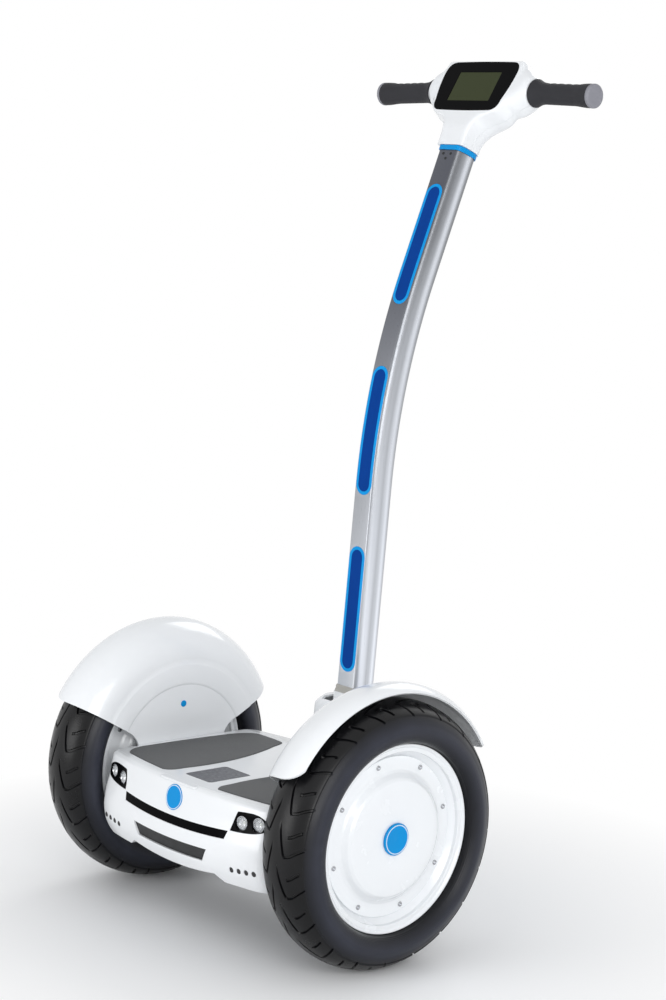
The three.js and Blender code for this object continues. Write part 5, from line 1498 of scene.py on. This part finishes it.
def glass_outline(growth):
    """The display window's outline, wider at its top and bowed on all sides."""
    corner = GLASS_CORNER + growth
    top, bottom = GLASS_TOP + growth, GLASS_BOTTOM + growth
    z1, z0 = GLASS_CENTRE + GLASS_HALF + growth, GLASS_CENTRE - GLASS_HALF - growth
    side = (top + bottom) / 2 + GLASS_CORNER / 6
    return ring_of([
        [(bottom, z0 + corner), (side, GLASS_CENTRE), (top, z1 - corner)],
        [(top, z1 - corner), (top, z1), (top - corner, z1)],
        [(top - corner, z1), (0, z1 + 2), (-top + corner, z1)],
        [(-top + corner, z1), (-top, z1), (-top, z1 - corner)],
        [(-top, z1 - corner), (-side, GLASS_CENTRE), (-bottom, z0 + corner)],
        [(-bottom, z0 + corner), (-bottom, z0), (-bottom + corner, z0)],
        [(-bottom + corner, z0), (0, z0 - 2), (bottom - corner, z0)],
        [(bottom - corner, z0), (bottom, z0), (bottom, z0 + corner)],
    ], 12)


def window_slab(outline, y0, y1):
    """A slab from one depth to another behind the window's face."""
    return slab(outline, "Y", y0 - HEAD_REAR, y1 - HEAD_REAR)


def display_slab(wider, higher, corner, y0, y1):
    """A slab in the shape of the display, so much wider and higher than its window."""
    outline = rectangle(LCD_HALF_WIDTH + wider, LCD_HALF_HEIGHT + higher, corner, LCD_CENTRE)
    return window_slab(outline, y0, y1)


class Head(bpy.types.Operator):
    """Makes the head's shells, the display and the window over it"""

    bl_idname = "scooter.head"
    bl_label = "Head"

    def execute(self, context):
        place = PLACE @ HEAD
        self.shells(place)
        opening = display_slab(0, 0, 1.5, -OVERRUN, OVERRUN)
        glass = cut(window_slab(glass_outline(0), 0, GLASS_WALL), opening)
        piece("display_glass_finished", glass, "column", "gloss_black", bevel=0.5, place=place)
        pane = gathered([display_slab(-0.2, -0.2, 1.2, 0.5, 1.8), display_slab(2, 2.5, 2, 2.4, 7)])
        piece("display_pane", pane, "column", "lcd_pane", bevel=0.2, node="lcd_module", place=place)
        return {"FINISHED"}

    def shells(self, place):
        into_head = HEAD.inverted()
        voxel, rounds = ((1.3, 36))
        solid = blended(join(neck_and_pod(), cross_hub()), voxel, rounds)
        reach = HEAD_HALF + OVERRUN
        ring_top = RING_STATION + RING_HEIGHT + GAP
        below = block(-reach, reach, -reach, reach, RING_STATION - HEAD_FOOT, ring_top)
        bore = slab(pole_section(GAP), "Z", RING_STATION, POLE_LENGTH + OVERRUN)
        ends = [rod("X", HEAD_HALF, x, x + 2 * OVERRUN) for x in (HEAD_HALF, -HEAD_HALF - 2 * OVERRUN)]
        seat = window_slab(glass_outline(GAP), -OVERRUN, GLASS_WALL + GAP)
        window = display_slab(2.5, 3, 3, -OVERRUN, MODULE_DEPTH)
        whole = cut(solid, moved(bent(below), into_head), moved(bent(bore), into_head),
                    rod("X", TUBE + GAP, -reach, reach), *ends, seat, window)
        depths = {"rear": (-HEAD_REAR - OVERRUN, -GAP / 2), "front": (GAP / 2, HEAD_FRONT + OVERRUN)}
        for word, depth in depths.items():
            half = common(whole.copy(), block(-reach, reach, *depth, -HEAD_FOOT - 50, HEAD_TOP + 60))
            piece(f"head_{word}_finished", half, "column", "white_panel", node=f"head_{word}_shell",
                  sharp=40, place=place)
        whole.free()


def grip_form():
    """A grip along the X axis, waisted, with finger ripples on its upper front."""
    rings = []
    count = 96
    for i in range(count + 1):
        t = i / count
        flare = max(0, 1 - t / 0.2) ** 2
        tail = smooth_table(*GRIP_SWELL, t)
        rim = 1.0 - 0.04 * max(0, 1 - t / 0.012)
        wave = 0.5 - 0.5 * math.cos(math.pi * 15 * (t - RIPPLE_START))
        ripple = RIPPLE_HEIGHT * wave if RIPPLE_START < t < RIPPLE_END else 0
        flange = (GRIP_FLANGE + 1.5 - GRIP_WAIST) * flare
        high = (GRIP_WAIST + flange + (GRIP_TAIL - GRIP_WAIST) * tail) * rim
        ring = []
        for u, v in arc(0, 0, 1, 1, 0, 360, 48)[:-1]:
            radius = high - ripple * max(0, 0.5 * u + 0.86 * v)
            ring.append((GRIP_LENGTH * t, u * radius * 0.97, v * radius))
        rings.append(ring)
    return cut(lofted(rings), rod("X", TUBE + GAP, -OVERRUN, GRIP_LENGTH + OVERRUN))


class Grips(bpy.types.Operator):
    """Makes the hand grips and their end caps"""

    bl_idname = "scooter.grips"
    bl_label = "Grips"

    def execute(self, context):
        start, end = GRIP_LENGTH + GAP, GRIP_LENGTH + GRIP_CAP
        cap = turned([
            (0, start), (GRIP_TAIL, start), (GRIP_TAIL, end - 2.4), (GRIP_TAIL - 2.2, end - 0.5),
            (GRIP_TAIL - 5, end), (0, end)], 0.8, 3, 64)
        droop = Matrix.Translation((GRIP_START, 0, 0)) @ Matrix.Rotation(GRIP_DROOP, 4, "Y")
        place = PLACE @ HEAD
        pairs = [both_sides(moved(form, droop)) for form in (grip_form(), cap)]
        for (_, word), grip, end_cap in zip(SIDES, *pairs):
            piece(f"grip_{word}_finished", grip, "column", "grip_rubber", sharp=50, place=place)
            piece(f"grip_cap_{word}_finished", end_cap, "column", "grip_cap", place=place)
        return {"FINISHED"}


# Stage

CAMERA_PLACE = Vector((2.48549, -2.15080, 1.10713)) + Vector((0, WHEEL.y, 0))
CAMERA_RIGHT = Vector((0.66627, 0.74361, 0.05591))
CAMERA_UP = Vector((-0.14019, 0.05126, 0.98880))
CAMERA_BACK = Vector((0.73243, -0.66663, 0.13840))
CAMERA_LENS = 80.145

# Place, aim, size and power of each soft lamp
LAMPS = {
    "key_light": ((3.9, -2.0, 1.8), (0, 0, 0.4), 2.6, 95),
    "fill_light": ((-1.0, -3.8, 0.9), (0, 0, 0.4), 1.6, 35),
    "back_light": ((-1.5, 3.6, 3.2), (0, 0, 0.7), 2.2, 40),
}
SKY = (0.95, 0.97, 1)
SKY_STRENGTH = 0.58
FLOOR = (0.93, 0.935, 0.94)
FLOOR_REACH = 40.0


class Stage(bpy.types.Operator):
    """Sets the floor, the lights and the camera"""

    bl_idname = "scooter.stage"
    bl_label = "Stage"

    def execute(self, context):
        scene = context.scene
        scene.view_settings.view_transform = "Standard"
        camera = linked("camera", bpy.data.cameras.new("camera"))
        camera.data.lens = CAMERA_LENS
        camera.data.sensor_width = 36
        camera.data.clip_end = 200
        turn = Matrix((CAMERA_RIGHT, CAMERA_UP, CAMERA_BACK)).transposed().to_4x4()
        camera.matrix_world = Matrix.Translation(CAMERA_PLACE) @ turn
        scene.camera = camera
        for name, (place, aim, size, power) in LAMPS.items():
            lamp = linked(name, bpy.data.lights.new(name, "AREA"))
            lamp.data.size = size
            lamp.data.energy = power
            lamp.location = place
            lamp.rotation_euler = (Vector(aim) - Vector(place)).to_track_quat("-Z", "Y").to_euler()
        self.floor()
        self.sky(scene)
        return {"FINISHED"}

    def floor(self):
        """A pale floor that keeps the shadow near the scooter and runs out into white around it."""
        form = bmesh.new()
        bmesh.ops.create_grid(form, x_segments=1, y_segments=1, size=FLOOR_REACH)
        ground = linked("floor", as_mesh(form, "floor"))
        finish = Finish("floor", FLOOR, 0.7)
        fade = finish.ramp(finish.vector("LENGTH", finish.place(), output="Value"), 0, 1, 0.3, 0.85)
        paper = finish.node("Emission", None, {"Color": (1, 1, 1, 1), "Strength": 1.0})
        plain = Field(finish, finish.surface.outputs["BSDF"])
        mixed = finish.node("MixShader", None, {0: fade * finish.seen(), 1: plain, 2: paper})
        finish.feed(finish.tree.nodes["Material Output"].inputs["Surface"], mixed)
        ground.data.materials.append(finish.material)

    def sky(self, scene):
        scene.world = bpy.data.worlds.new("studio")
        sky = Nodes(scene.world)
        light = sky.node("Background", None, {"Color": tint(SKY), "Strength": SKY_STRENGTH})
        backdrop = sky.node("Background", None, {"Color": (1, 1, 1, 1), "Strength": 1.0})
        mixed = sky.node("MixShader", None, {0: sky.seen(), 1: light, 2: backdrop})
        sky.feed(sky.tree.nodes["World Output"].inputs["Surface"], mixed)


# Panel

class ScooterPanel(bpy.types.Panel):
    """Lists the scooter's operators and settings"""

    bl_idname = "VIEW3D_PT_scooter"
    bl_label = "Scooter"
    bl_space_type = "VIEW_3D"
    bl_region_type = "UI"
    bl_category = "Scooter"

    def draw(self, context):
        for group in (context.scene.scooter_sizes, context.scene.scooter_colours):
            for name in group.__annotations__:
                self.layout.prop(group, name)
        for operator in OPERATORS:
            self.layout.operator(operator.bl_idname)


OPERATORS = (Stage, FrameFinishes, Wheels, Fenders, Body, Column, Head, Grips)
CLASSES = (ScooterColours, ScooterSizes, *OPERATORS, ScooterPanel)


def register():
    for cls in CLASSES:
        bpy.utils.register_class(cls)
    bpy.types.Scene.scooter_colours = PointerProperty(type=ScooterColours)
    bpy.types.Scene.scooter_sizes = PointerProperty(type=ScooterSizes)


def unregister():
    del bpy.types.Scene.scooter_sizes
    del bpy.types.Scene.scooter_colours
    for cls in reversed(CLASSES):
        bpy.utils.unregister_class(cls)


def main():
    register()
    bpy.ops.scooter.stage()
    bpy.ops.scooter.frame_finishes()
    bpy.ops.scooter.wheels()
    bpy.ops.scooter.fenders()
    bpy.ops.scooter.body()
    bpy.ops.scooter.column()
    bpy.ops.scooter.head()
    bpy.ops.scooter.grips()


if __name__ == "__main__":
    main()
